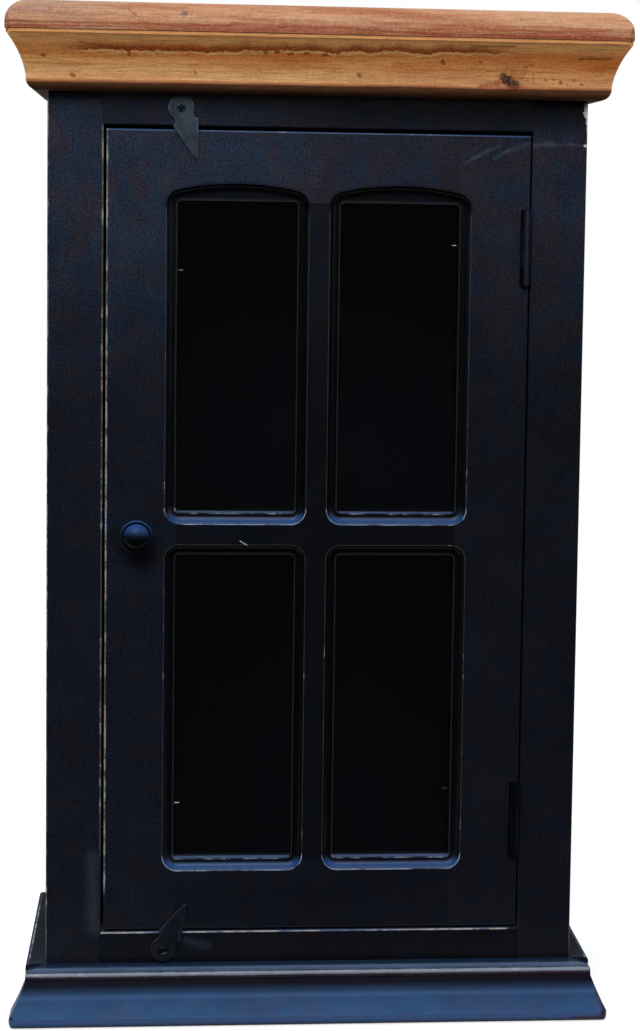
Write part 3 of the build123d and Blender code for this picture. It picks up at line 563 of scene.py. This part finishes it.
def oiled(title, length_way, seed, light, mid, details=None, foot=True, glow=None):
    """Oiled pine. Details is a call that draws what only one piece has."""
    material, tree, surface, place = finish_of(title)
    grain = use(tree, grained, Place=place, Length_Way=length_way, Seed=seed)
    ragged = minus(tree, cloud(tree, place, 260.0, detail=4.0, roughness=0.65), 0.5)
    colour = blend(tree, fade(tree, grain["Cloud"], 0.36, 0.60), light, mid)
    if glow:
        rightward = fade(tree, apart(tree, place)["X"], 0.19, 0.0)
        colour = over(tree, colour, rightward, 0.5, glow)
    colour = over(tree, colour, fade(tree, grain["Bands"], 0.66, 0.50), 0.42, band_red)
    colour = over(tree, colour, fade(tree, grain["Bands"], 0.36, 0.46), 0.40, light)
    if details:
        colour = details(tree, colour, place, ragged)
    colour = over(tree, colour, fade(tree, grain["Fibre"], 0.64, 0.46), 0.34, wood_dark)
    colour = over(tree, colour, fade(tree, grain["Pores"], 0.66, 0.52), 0.30, wood_dark)
    colour = over(tree, colour, fade(tree, grain["Pores"], 0.34, 0.46), 0.25, torn_pale)
    rough = plus(tree, times(tree, grain["Fibre"], 0.25), 0.42)
    if foot:
        spot = apart(tree, place)
        height = plus(tree, spot["Z"], times(tree, grain["Bands"], 0.003))
        height = minus(tree, height, times(tree, spot["X"], 0.004))
        colour = over(tree, colour, fade(tree, height, cove_low + 0.0014, cove_low + 0.0034), 0.6, band_red)
        # Dirt and painted shade on the foot's roundover, which faces down, broken by streaks of fibre
        soiled_and_shaded = times(tree, fade(tree, height, cove_low, cove_low + 0.0016), 0.94)
        streaks = times(tree, fade(tree, grain["Fibre"], 0.66, 0.5), 0.22)
        colour = blend(tree, minus(tree, soiled_and_shaded, streaks, clamp=True), colour, foot_dirt_and_shade)
        rough = plus(tree, rough, times(tree, soiled_and_shaded, 0.4), clamp=True)
    fill(tree, surface, Base_Color=colour, Roughness=rough, Specular_IOR_Level=0.25)
    relief(tree, surface, plus(tree, grain["Fibre"], times(tree, grain["Pores"], 0.5)), 0.30, 0.0003)
    return material


torn_start, torn_slope, torn_depth = 0.6549, 0.013, 0.0066
# Short hooks of torn grain: x, size and z in millimetres
hooks = (
    (-37.2, 0.9, 653.4), (-30.0, 1.0, 653.8), (-20.9, 1.4, 652.8),
    (-10.4, 1.3, 653.2), (1.4, 1.2, 652.6), (10.0, 0.8, 653.6),
)


def front_cove_details(tree, colour, place, ragged):
    """Grain torn by the cutter high in the cove and darkened by the oil, specks and a knot."""
    spot = apart(tree, place)
    # Washes by height: full, none, level and colour. The wash on the upper cove, where it faces down, is painted
    # light
    for full, none, level, wash in (
        (0.6390, 0.6465, 0.45, cove_pale), (0.6520, 0.6455, 0.55, cove_orange),
        (0.6600, 0.6545, 0.85, cove_top_painted_light), (cove_high, 0.6610, 0.85, fillet_tan),
    ):
        colour = over(tree, colour, fade(tree, spot["Z"], full, none), level, wash)
    colour = with_ribbons(
        tree, colour, place,
        (0.6600, 0.000, 0.006, 0.0012, 3.0, 0.15), (0.6450, 0.004, 0.010, 0.0010, 8.0, 0.30),
        (0.6400, 0.000, 0.008, 0.0008, 5.0, 0.30), (0.6525, 0.010, 0.008, 0.0012, 11.0, 0.35),
    )
    torn_line = plus(tree, times(tree, spot["X"], torn_slope), torn_start)
    only_x = vectors(tree, "MULTIPLY", place, (1.0, 0.0, 0.35))
    sway = minus(tree, cloud(tree, only_x, 34.0, detail=5.0, roughness=0.68), 0.5)
    above = minus(tree, minus(tree, spot["Z"], torn_line), times(tree, sway, 0.011))
    above = plus(tree, above, times(tree, ragged, 0.0030))
    strength = times(
        tree, fade(tree, cloud(tree, only_x, 15.0, detail=4.0, roughness=0.65), 0.46, 0.24),
        fade(tree, spot["X"], -0.150, -0.178), fade(tree, spot["X"], 0.105, 0.135),
    )
    torn = times(tree, fade(tree, above, 0.0002, -0.0004), fade(tree, above, 0.0004, torn_depth), strength)
    colour = over(tree, colour, torn, 0.95, torn_brown)
    lip = times(tree, fade(tree, above, -0.0004, 0.0002), fade(tree, above, -0.0010, -0.0022), strength)
    colour = over(tree, colour, lip, 0.6, torn_pale)
    return with_strokes(tree, colour, place, times(tree, ragged, 2.2), strokes(
        band_red,
        (125.0, 639.0, 128.0, 638.0, 13.0, 0.5, 0.9), (106.0, 634.8, 121.0, 638.6, 3.2, 0.6, 0.8),
        (148.0, 639.8, 149.0, 639.3, 1.0, 0.7, 0.6), (167.2, 640.2, 168.2, 639.8, 1.1, 0.7, 0.6),
        (172.4, 637.5, 173.6, 637.2, 1.1, 0.7, 0.6), (140.0, 644.0, 141.0, 636.0, 0.9, 0.4, 0.9),
    ) + strokes(
        knot_purple,
        (118.6, 641.0, 122.5, 640.6, 3.6, 0.85, 0.9), (123.6, 638.6, 128.4, 635.6, 4.8, 0.95, 0.8),
    ) + strokes(
        torn_brown,
        (-126.8, 653.4, -126.2, 650.4, 1.5, 0.85, 0.6), (-134.5, 654.6, -112.0, 654.0, 1.4, 0.7, 0.8),
        (-158.0, 657.6, -134.0, 655.0, 1.2, 0.5, 0.9), (99.0, 660.0, 126.0, 660.8, 1.3, 0.6, 1.0),
        (-106.0, 654.0, -78.0, 653.4, 0.9, 0.7, 0.7),
        *[(x - size, z, x + size * 0.8, z + 0.3, size, 0.85, 0.5) for x, size, z in hooks],
    ) + strokes(
        fleck_brown,
        (169.6, 653.6, 191.0, 654.3, 1.3, 0.75, 1.0), (-163.8, 637.2, -162.4, 636.0, 2.0, 0.7, 0.7),
        (-83.6, 640.4, -82.8, 639.4, 2.0, 0.6, 0.8), (24.2, 640.8, 25.0, 639.8, 1.8, 0.7, 0.7),
        (-182.6, 649.2, -181.0, 648.9, 1.2, 0.85, 0.5), (158.7, 638.8, 159.4, 638.0, 1.7, 0.8, 0.7),
        (153.0, 640.4, 153.8, 639.8, 0.8, 0.7, 0.6), (163.0, 637.0, 163.8, 636.6, 0.8, 0.7, 0.6),
        (104.0, 650.6, 105.0, 650.0, 1.1, 0.8, 0.6), (79.2, 650.2, 80.4, 649.0, 1.5, 0.85, 0.6),
        (134.0, 648.0, 140.0, 649.6, 0.8, 0.5, 0.8),
    ))


def top_board_details(tree, colour, place, ragged):
    """Red summer growth near the underside, a grey knot, a scratch and a crayon line."""
    spot = apart(tree, place)
    blush = times(tree, fade(tree, spot["Z"], 0.667, 0.6765), fade(tree, cloud(tree, place, 14.0), 0.52, 0.38))
    colour = over(tree, colour, blush, 0.60, board_blush)
    colour = with_ribbons(
        tree, colour, place,
        (0.6672, 0.000, 0.0010, 0.0014, 1.0, 0.70), (0.6688, -0.006, 0.0050, 0.0012, 4.0, 0.70),
        (0.6705, 0.004, 0.0070, 0.0012, 7.0, 0.75), (0.6742, -0.010, 0.0080, 0.0018, 10.0, 0.55),
        (0.6770, 0.006, 0.0080, 0.0006, 13.0, 0.30),
    )
    colour = with_strokes(tree, colour, place, times(tree, ragged, 2.0), strokes(
        band_red,
        (-60.0, 671.8, 20.0, 669.6, 0.9, 0.6, 0.9), (20.0, 669.6, 84.0, 667.0, 1.1, 0.75, 0.9),
        (60.0, 667.2, 204.0, 666.8, 1.1, 0.75, 0.9), (100.0, 667.6, 150.0, 669.8, 0.9, 0.55, 0.9),
        (150.0, 669.8, 190.0, 672.2, 0.8, 0.5, 0.9), (-204.0, 667.0, -138.0, 668.0, 1.2, 0.7, 0.9),
        (-177.8, 678.9, -176.2, 678.6, 1.5, 0.75, 0.6),
    ) + strokes(
        slate_grey, (-91.8, 677.7, -90.0, 677.3, 2.3, 0.8, 0.7),
    ) + strokes(
        wood_dark,
        (-127.1, 679.4, -123.0, 676.2, 0.45, 0.55, 0.6), (-123.2, 676.5, -121.8, 675.8, 1.1, 0.7, 0.7),
    ))
    grey_end = times(tree, fade(tree, spot["X"], -0.194, -0.105), fade(tree, spot["Z"], 0.679, 0.672))
    return over(tree, colour, grey_end, 0.5, board_grey)


front_way, side_way = (1.0, 0.0, 0.0), (0.0, 1.0, 0.0)
dress(
    oiled("oiled pine of the front moulding", front_way, 0.0, cove_light, cove_mid,
          front_cove_details, glow=cove_orange),
    "cornice_front",
)
dress(
    oiled("oiled pine of the side mouldings", side_way, 1.7, cove_light, cove_mid),
    "cornice_left", "cornice_right",
)
dress(
    oiled("oiled pine of the top board", front_way, 3.3, board_light, board_mid, top_board_details, foot=False),
    "top_board",
)


# -------------------- door
# Stiles, rails and muntins tenoned together, with a cove and bead routed round each
# of the four panes. The arrises of the moulding are rubbed through to the undercoat.
# The hollows of the moulding hold painted shade, deeper in the arched heads, and the
# arris at each pane's foot a painted highlight.
pane_half_width, pane_half_height = 0.03955, 0.1041
pane_corner = 0.0023
pane_middle_x, pane_middle_z = 0.0004, 0.3328
pane_step_x, pane_step_z = 0.05445, 0.1190
arch_rise = 0.0045
head_z, foot_z = (0.102, 0.096), (0.103, 0.099)
hollow_full, hollow_none, head_hollow_more = 0.0058, 0.0074, 0.0034
moulding_width, bead_width, bead_top_y = 0.0077, 0.0011, -0.0700
routed, inside, out = effect(
    "moulding round the panes", {"Place": None}, ("Foot", "Head", "Hollow"), places=("Arris", "Bead")
)
split = apart(routed, inside["Place"])


def fold(value, middle, step):
    """Distance to the nearer of two pane centres, so that one drawing serves four panes."""
    off = maths(routed, "ABSOLUTE", minus(routed, value, middle))
    return minus(routed, off, step)


def outside(tall):
    """How far a place lies outside the pane's outline, with the depth kept beside it."""
    over_x = minus(routed, maths(routed, "ABSOLUTE", local_x), pane_half_width - pane_corner)
    over_z = minus(routed, tall, pane_half_height - pane_corner)
    beyond = [maths(routed, "MAXIMUM", value, 0.0) for value in (over_x, over_z)]
    squares = [times(routed, value, value) for value in beyond]
    corner = maths(routed, "SQRT", plus(routed, *squares))
    join = routed.nodes.new("ShaderNodeCombineXYZ")
    fill(routed, join, X=minus(routed, corner, pane_corner), Y=split["Y"])
    return join.outputs[0]


local_x = fold(split["X"], pane_middle_x, pane_step_x)
above = minus(routed, split["Z"], pane_middle_z)
upper = maths(routed, "GREATER_THAN", above, 0.0)
local_z = fold(split["Z"], pane_middle_z, pane_step_z)
outward = maths(routed, "GREATER_THAN", local_z, 0.0)
curve = maths(routed, "POWER", maths(routed, "DIVIDE", local_x, pane_half_width), 2.0)
lift = times(routed, minus(routed, 1.0, curve, clamp=True), arch_rise, upper, outward)
tall = maths(routed, "ABSOLUTE", local_z)
arched = outside(minus(routed, tall, lift))
at_head = times(routed, upper, outward, fade(routed, tall, *head_z))
hollow_end = plus(routed, times(routed, at_head, head_hollow_more), hollow_none)
hollow = fade(routed, apart(routed, arched)["X"], hollow_full, hollow_end)
same_way = times(routed, minus(routed, upper, 0.5), maths(routed, "SIGN", local_z))
at_foot = times(routed, fade(routed, same_way, -0.4, 0.0), fade(routed, tall, *foot_z))
fill(routed, out, Arris=arched, Bead=outside(tall), Head=at_head, Foot=at_foot, Hollow=hollow)

door_left, door_right = -0.1412, 0.1420
door_low, door_high = 0.0613, 0.6031
scratch_white = tone(168, 172, 180)
dress(
    painted("black paint on the door stiles", along_z, 11.5, panes=True, edges=[
        upright_line(door_left, 0.0015, 0.56, 0.28, (0.086, door_high)),
        upright_line(door_right, 0.0005, 0.22, 0.02),
    ], marks=strokes(
        scuff_grey,
        (97.0, 584.0, 107.0, 590.0, 1.4, 0.30, 1.0), (103.0, 587.6, 114.0, 593.4, 2.2, 0.34, 1.0),
        (113.0, 592.6, 121.0, 596.0, 1.6, 0.20, 1.0), (117.0, 587.5, 127.0, 593.5, 1.8, 0.26, 1.0),
        (125.0, 592.0, 141.0, 598.5, 2.6, 0.26, 1.0), (96.0, 588.5, 108.0, 596.0, 1.4, 0.12, 1.0),
    )),
    "door_left_stile", "door_right_stile",
)
dress(
    painted("black paint on the door top rail", along_x, 12.2, panes=True,
            edges=[level_line(door_high, 0.0008, 0.42, 0.14)],
            marks=strokes(scratch_white, (-72.1, 566.3, -63.5, 563.1, 0.45, 0.9))),
    "door_top_rail",
)
dress(
    painted("black paint on the door mid rail", along_x, 12.9, panes=True, thin=0.36,
            marks=strokes(scratch_white, (-50.6, 328.6, -45.2, 325.2, 0.45, 0.8))),
    "door_mid_rail",
)
dress(
    painted("black paint on the door bottom rail", along_x, 13.3, panes=True, thin=0.75,
            edges=[level_line(door_low, 0.0005, 0.30, 0.04)]),
    "door_bottom_rail",
)
dress(
    painted("black paint on the muntins", along_z, 13.9, panes=True, thin=0.34),
    "door_upper_muntin", "door_lower_muntin",
)


# -------------------- panes, beads and pins
# Four panes of 2 mm glass lie in the rabbets behind the moulding, held by mitred
# quadrant beads and by bent wire pins, one a pane, that show past the beads.
clear_glass, tree, surface, place = finish_of("clear sheet glass")
film = fade(tree, cloud(tree, place, 35.0, detail=4.0), 0.7, 0.3)
filmed = blend(tree, film, (0.95, 0.98, 0.99, 1.0), (0.86, 0.90, 0.92, 1.0))
fill(tree, surface, Base_Color=filmed, Transmission_Weight=1.0, IOR=1.45, Roughness=0.02)
fill(tree, surface, Specular_IOR_Level=0.15)
pane_names = [f"{row}_{side}" for row in ("upper", "lower") for side in ("left", "right")]
dress(clear_glass, *[f"glass_{name}" for name in pane_names])
dress(stained("inside stain on the beads", along_z, 15.1), *[f"glazing_beads_{name}" for name in pane_names])


def iron(title, dark, light, seed, roughness, metallic, edge=None, marks=(), shine=0.4):
    """Iron or steel with a patchy skin: dark scale, thin light wear. Edge tints the cut sides."""
    material, tree, surface, place = finish_of(title)
    skin = use(tree, brushed, Place=place, Brush=(1.0, 1.0, 1.0), Seed=seed)
    patch = fade(tree, skin["Hue"], 0.64, 0.36)
    share = plus(tree, patch, times(tree, skin["Speck"], 0.3), clamp=True)
    colour = blend(tree, share, dark, light)
    if edge:
        facing = tree.nodes.new("ShaderNodeNewGeometry").outputs["Normal"]
        frontal = maths(tree, "ABSOLUTE", vectors(tree, "DOT_PRODUCT", facing, (0.0, 1.0, 0.0)))
        colour = blend(tree, fade(tree, frontal, 0.70, 0.97), colour, edge)
    colour = with_strokes(tree, colour, place, 0.0, marks)
    gloss = plus(tree, times(tree, skin["Drag"], 0.2), roughness - 0.1)
    fill(tree, surface, Base_Color=colour, Roughness=gloss, Metallic=metallic, Specular_IOR_Level=shine)
    relief(tree, surface, skin["Drag"], 0.25, 0.0002)
    return material


dress(iron("drawn pin wire", tone(120, 122, 124), tone(190, 192, 190), 17.0, 0.4, 1.0), "glazing_pins")


# -------------------- knob
# A turned knob with a grooved rim, enamelled black and held by a screw through the
# stile. Its top carries a painted bluish sky sheen, and its lower half painted shade.
dress(
    painted("black enamel on the knob", (1.0, 1.0, 1.0), 18.4, thin=0.35,
            painted_shade_span=(0.3350, 0.3260), start=-0.10, shine=0.08),
    "knob",
)

# One tree makes every screw: a domed or a countersunk head with a cross cut in it, on a
# plain shank, each turned a little by chance
screw_maker = bpy.data.node_groups.new("cross-recess screws", "GeometryNodeTree")
screw_inputs = [
    ("Places", "Geometry"), ("Head Radius", "Float"), ("Head Height", "Float"), ("Shank Radius", "Float"),
    ("Length", "Float"), ("Countersunk", "Bool"), ("Way", "Vector"), ("Turn Spread", "Float"),
    ("Seed", "Int"), ("Finish", "Material"),
]
for name, kind in screw_inputs:
    screw_maker.interface.new_socket(name, in_out="INPUT", socket_type="NodeSocket" + kind)
screw_maker.interface.new_socket("Screws", in_out="OUTPUT", socket_type="NodeSocketGeometry")


def part(kind, settings=(), **sockets):
    """The output of a new node, with its settings and its joined or plain inputs."""
    made = screw_maker.nodes.new(kind)
    for name, value in dict(settings).items():
        setattr(made, name, value)
    for name, value in sockets.items():
        socket = made.inputs[name.replace("_", " ")]
        for single in value if isinstance(value, list) else [value]:
            feed(screw_maker, socket, single)
    return made.outputs[0]


def upright(x, y, z):
    return part("ShaderNodeCombineXYZ", X=x, Y=y, Z=z)


def raised(shape, rise):
    return part("GeometryNodeTransform", Geometry=shape, Translation=upright(0.0, 0.0, rise))


def scaled(value, factor):
    return times(screw_maker, value, factor)


given = screw_maker.nodes.new("NodeGroupInput").outputs
radius, height = given["Head Radius"], given["Head Height"]
cone = part(
    "GeometryNodeMeshCone", Vertices=32, Radius_Top=radius, Radius_Bottom=given["Shank Radius"], Depth=height
)
flush_head = raised(cone, scaled(height, -1.0))
ball = part("GeometryNodeMeshUVSphere", Segments=32, Rings=16, Radius=1.0)
dome = part("GeometryNodeTransform", Geometry=ball, Scale=upright(radius, radius, height))
wide = scaled(radius, 4.0)
wide_box = part("GeometryNodeMeshCube", Size=upright(wide, wide, scaled(height, 3.0)))
above_seat = raised(wide_box, scaled(height, 1.5))
raised_head = part(
    "GeometryNodeMeshBoolean", {"operation": "INTERSECT", "solver": "EXACT"}, Mesh_2=[dome, above_seat]
)
head = part(
    "GeometryNodeSwitch", {"input_type": "GEOMETRY"},
    Switch=given["Countersunk"], **{"False": raised_head, "True": flush_head},
)
proud = scaled(height, minus(screw_maker, 1.0, given["Countersunk"]))
wings = []
for x_share, y_share in ((1.06, 0.26), (0.26, 1.06)):
    size = upright(scaled(radius, x_share), scaled(radius, y_share), scaled(height, 1.2))
    wings.append(raised(part("GeometryNodeMeshCube", Size=size), proud))
cut_head = part(
    "GeometryNodeMeshBoolean", {"operation": "DIFFERENCE", "solver": "EXACT"}, Mesh_1=head, Mesh_2=wings
)
rod = part("GeometryNodeMeshCylinder", Vertices=20, Radius=given["Shank Radius"], Depth=given["Length"])
shank = raised(rod, scaled(given["Length"], -0.5))
whole = part("GeometryNodeJoinGeometry", Geometry=[cut_head, shank])
way = part("FunctionNodeEulerToRotation", Euler=given["Way"])
standing = part("GeometryNodeInstanceOnPoints", Points=given["Places"], Instance=whole, Rotation=way)
chance = screw_maker.nodes.new("FunctionNodeRandomValue")
chance.data_type = "FLOAT"
float_ends = [socket for socket in chance.inputs if socket.type == "VALUE"]
feed(screw_maker, float_ends[0], scaled(given["Turn Spread"], -1.0))
feed(screw_maker, float_ends[1], given["Turn Spread"])
feed(screw_maker, chance.inputs["Seed"], given["Seed"])
any_turn = [socket for socket in chance.outputs if socket.type == "VALUE"][0]
spin = part("FunctionNodeEulerToRotation", Euler=upright(0.0, 0.0, any_turn))
turned = part("GeometryNodeRotateInstances", Instances=standing, Rotation=spin)
real = part("GeometryNodeRealizeInstances", Geometry=turned)
finished = part("GeometryNodeSetMaterial", Geometry=real, Material=given["Finish"])
feed(screw_maker, screw_maker.nodes.new("NodeGroupOutput").inputs["Screws"], finished)


def new_object(title, data):
    """An object in the scene, at the origin."""
    made = bpy.data.objects.new(title, data)
    bpy.context.scene.collection.objects.link(made)
    return made


def drive(title, places, body, slot, replaced, **sizes):
    """Screws of one size on one body, as one plain mesh in place of CAD nodes."""
    mesh = bpy.data.meshes.new(title + "_places")
    mesh.from_pydata(places, [], [])
    holder = new_object(title + "_places", mesh)
    modifier = holder.modifiers.new("screws", "NODES")
    modifier.node_group = screw_maker
    ways_in = [item for item in screw_maker.interface.items_tree if item.in_out == "INPUT"]
    sockets = {item.name: item.identifier for item in ways_in}
    for name, value in sizes.items():
        modifier[sockets[name.replace("_", " ")]] = value
    seen = holder.evaluated_get(bpy.context.evaluated_depsgraph_get())
    driven = bpy.data.meshes.new_from_object(seen)
    holder.modifiers.remove(modifier)
    bpy.data.objects.remove(holder)
    piece = new_object(title, driven)
    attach(piece, body)
    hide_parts(*replaced)


def middle(low, high):
    return [(first + second) / 2 for first, second in zip(low, high)]


quarter_turn = math.pi / 2
screw_height, knob_shank = 0.002, 0.0019
low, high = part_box("knob_screw")
knob_x, _, knob_z = middle(low, high)
black_iron = iron("black screw iron", tone(10, 10, 14), tone(34, 36, 44), 19.6, 0.5, 0.0)
drive(
    "knob_wood_screw", [(knob_x, high[1] - screw_height, knob_z)], "door", "black_iron", ["knob_screw"],
    Head_Radius=(high[0] - low[0]) / 2, Head_Height=screw_height, Shank_Radius=knob_shank,
    Length=high[1] - low[1] - screw_height, Countersunk=False, Way=(-quarter_turn, 0.0, 0.0),
    Turn_Spread=0.8, Seed=3, Finish=black_iron,
)


# -------------------- hinges
# Two 50 mm butt hinges with three knuckles and a loose pin, pressed from iron and
# painted over with the case. Their leaves are let into the frame and the door. Shadows
# are painted beside the outer knuckles and a gleam down the upper barrel, and the
# lower hinge is given darker iron as painted shade.
hinge_shank = 0.0012
knuckle_shadow_x, knuckle_shadow_off, knuckle_shadow_half = 136.7, 18.8, 5.6
gleam_x, gleam_half, gleam_blue = 139.8, 24.0, tone(52, 58, 80)
for level, z, dark, light, shine in (
    ("upper", 528.1, tone(6, 8, 15), tone(20, 24, 38), 0.12),
    ("lower", 136.3, tone(3, 4, 7), tone(9, 11, 17), 0.06),
):
    # Painted shadows beside the outer knuckles
    marks = strokes(painted_shade_black, *[
        (knuckle_shadow_x, end + knuckle_shadow_half, knuckle_shadow_x, end - knuckle_shadow_half, 1.7, 0.9, 0.4)
        for end in (z + knuckle_shadow_off, z - knuckle_shadow_off)
    ])
    # A painted gleam down the upper barrel
    if level == "upper":
        marks += strokes(gleam_blue, (gleam_x, z + gleam_half, gleam_x, z - gleam_half, 1.0, 0.5, 1.0))
    hinge_iron = iron(f"black {level} hinge iron", dark, light, 21.0, 0.38, 0.0, shine=shine, marks=marks)
    dress(hinge_iron, *[f"{level}_hinge_{name}" for name in ("frame_leaf", "door_leaf", "pin")])
worn_screws = iron("worn hinge screw iron", tone(26, 27, 30), tone(92, 94, 98), 22.0, 0.40, 0.6)
for carrier, body, way_y, seed in (("frame", "cabinet", -quarter_turn, 11), ("door", "door", quarter_turn, 12)):
    names = [f"{level}_hinge_{carrier}_screws" for level in ("upper", "lower")]
    heads = []
    for name in names:
        low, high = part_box(name)
        head_radius = (high[1] - low[1]) / 2
        head_x = low[0] if carrier == "frame" else high[0]
        heads += [(head_x, low[1] + head_radius, z) for z in (low[2] + head_radius, high[2] - head_radius)]
    drive(
        f"hinge_screws_in_{carrier}", heads, body, "black_iron", names,
        Head_Radius=head_radius, Head_Height=head_radius - hinge_shank, Shank_Radius=hinge_shank,
        Length=high[0] - low[0], Countersunk=True, Way=(0.0, way_y, 0.0),
        Turn_Spread=1.2, Seed=seed, Finish=worn_screws,
    )


# -------------------- turn buttons
# Two pointed iron leaves that turn on a screw to hold the door shut. The top one is
# bare blue-grey iron with bright edges, and the bottom one was painted with the frame.
rim_light, painted_rim = tone(98, 110, 128), tone(38, 45, 56)
bare_iron = iron(
    "blue-grey iron", tone(20, 33, 42), tone(51, 64, 77), 23.0, 0.42, 0.2, edge=rim_light,
    marks=strokes(rim_light, (-100.9, 621.8, -101.3, 617.4, 1.7, 0.75), (-80.6, 612.5, -80.8, 601.0, 0.9, 0.45)),
)
dress(bare_iron, "top_turn_button")
painted_iron = iron(
    "painted button iron", tone(6, 13, 18), tone(18, 22, 31), 24.0, 0.42, 0.0, shine=0.12, edge=painted_rim,
    marks=strokes(painted_rim, (-98.0, 67.5, -103.6, 60.0, 1.6, 0.7), (-89.6, 60.0, -89.5, 53.0, 0.7, 0.8)),
)
dress(painted_iron, "bottom_turn_button")
recess_shade, recess_arm, recess_width = tone(2, 8, 11), 1.9, 1.3
button_shank = 0.00175
for level, head_height, dark, light in (
    ("top", 0.0009, tone(22, 35, 43), tone(50, 63, 75)),
    ("bottom", screw_height, tone(4, 9, 13), tone(20, 25, 32)),
):
    low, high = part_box(f"{level}_button_screw")
    screw_x, _, screw_z = middle(low, high)
    x, z = screw_x * 1000, screw_z * 1000
    # Painted shade in the cross recess of each head; the bottom head also gets a light crescent
    crossed = strokes(
        recess_shade,
        (x - recess_arm, z, x + recess_arm, z, recess_width, 1.0),
        (x, z - recess_arm, x, z + recess_arm, recess_width, 1.0),
    )
    if level == "bottom":
        crossed += strokes(rim_light, (x - 0.6, z - 2.6, x + 2.4, z - 1.6, 0.8, 0.8))
    screw_iron = iron(f"{level} screw iron", dark, light, 25.0, 0.5, 0.0, marks=crossed, shine=0.10)
    drive(
        f"{level}_button_round_screw", [(screw_x, low[1] + screw_height, screw_z)], "cabinet", "grey_iron",
        [f"{level}_button_screw"],
        Head_Radius=(high[0] - low[0]) / 2, Head_Height=head_height, Shank_Radius=button_shank,
        Length=high[1] - low[1] - screw_height, Countersunk=False, Way=(quarter_turn, 0.0, 0.0),
        Turn_Spread=0.0, Seed=5, Finish=screw_iron,
    )


# -------------------- floor, light and camera
# A pale floor and a soft studio: one wide lamp overhead and in front, a low fill,
# and a white room behind. The camera stands a little left of the middle and above it.
def seen_by(tree, way_y=None):
    """1 for rays that look at the room itself: straight, through glass, or off a gloss."""
    rays = tree.nodes.new("ShaderNodeLightPath").outputs
    bounced = plus(tree, rays["Diffuse Depth"], rays["Glossy Depth"])
    through = times(tree, rays["Is Transmission Ray"], maths(tree, "LESS_THAN", bounced, 0.5))
    glossy = rays["Is Glossy Ray"]
    if way_y is not None:
        glossy = times(tree, glossy, fade(tree, way_y, 0.5, 0.2))
    return maths(tree, "MAXIMUM", rays["Is Camera Ray"], maths(tree, "MAXIMUM", glossy, through))


floor_mesh = bpy.data.meshes.new("studio_floor")
floor_z, floor_side, floor_front, floor_back = -0.0004, 3.0, -0.17, 3.2
floor_corners = (
    (-floor_side, floor_front, floor_z), (floor_side, floor_front, floor_z),
    (floor_side, floor_back, floor_z), (-floor_side, floor_back, floor_z),
)
floor_mesh.from_pydata(floor_corners, [], [(0, 1, 2, 3)])
new_object("studio_floor", floor_mesh)
floor_paper, tree, surface, place = finish_of("white floor paper")
white = (1.0, 1.0, 1.0, 1.0)
fill(
    tree, surface, Base_Color=(0.55, 0.55, 0.55, 1.0), Roughness=0.9, Specular_IOR_Level=0.1,
    Emission_Color=white, Emission_Strength=times(tree, seen_by(tree), 0.60),
)
floor_mesh.materials.append(floor_paper)

world = bpy.data.worlds.new("studio")
world.use_nodes = True
bpy.context.scene.world = world
tree = world.node_tree
tree.nodes.clear()
way = apart(tree, tree.nodes.new("ShaderNodeTexCoord").outputs["Generated"])
room = tree.nodes.new("ShaderNodeValToRGB")
room_levels = ((0.0, 0.02), (0.10, 0.04), (0.30, 0.25), (0.6, 0.80), (1.0, 1.0))
while len(room.color_ramp.elements) < len(room_levels):
    room.color_ramp.elements.new(0.5)
for stop, (height, level) in zip(room.color_ramp.elements, room_levels):
    stop.position = height
    stop.color = (level * 0.95, level * 0.98, level * 1.02, 1.0)
feed(tree, room.inputs["Fac"], way["Z"])
shown = blend(tree, seen_by(tree, way["Y"]), room.outputs["Color"], white)
sky = tree.nodes.new("ShaderNodeBackground")
feed(tree, sky.inputs["Color"], shown)
feed(tree, tree.nodes.new("ShaderNodeOutputWorld").inputs["Surface"], sky.outputs[0])


def lamp(title, place, aim, size, power):
    light = bpy.data.lights.new(title, "AREA")
    light.shape = "RECTANGLE"
    light.size, light.size_y = size
    light.energy = power
    holder = new_object(title, light)
    holder.location = place
    toward = [end - start for start, end in zip(place, aim)]
    flat = math.hypot(toward[0], toward[1])
    holder.rotation_euler = (math.atan2(flat, -toward[2]), 0.0, math.atan2(-toward[0], toward[1]))


lamp("overhead softbox", (-0.5, -1.9, 2.15), (0.0, 0.0, 0.35), (1.6, 1.2), 50.0)
lamp("side fill", (2.2, -1.6, 1.2), (0.0, 0.0, 0.35), (1.2, 1.2), 8.0)

camera = new_object("camera", bpy.data.cameras.new("camera"))
camera.location = (-0.094901, -1.706999, 0.550857)
camera.rotation_euler = [math.radians(angle) for angle in (84.6610, -0.8960, -5.2197)]
camera.data.lens, camera.data.sensor_width = 85.0896, 36.0
camera.data.shift_x, camera.data.shift_y = -0.0775946, -0.0732299
bpy.context.scene.camera = camera
bpy.context.scene.view_settings.view_transform = "Standard"
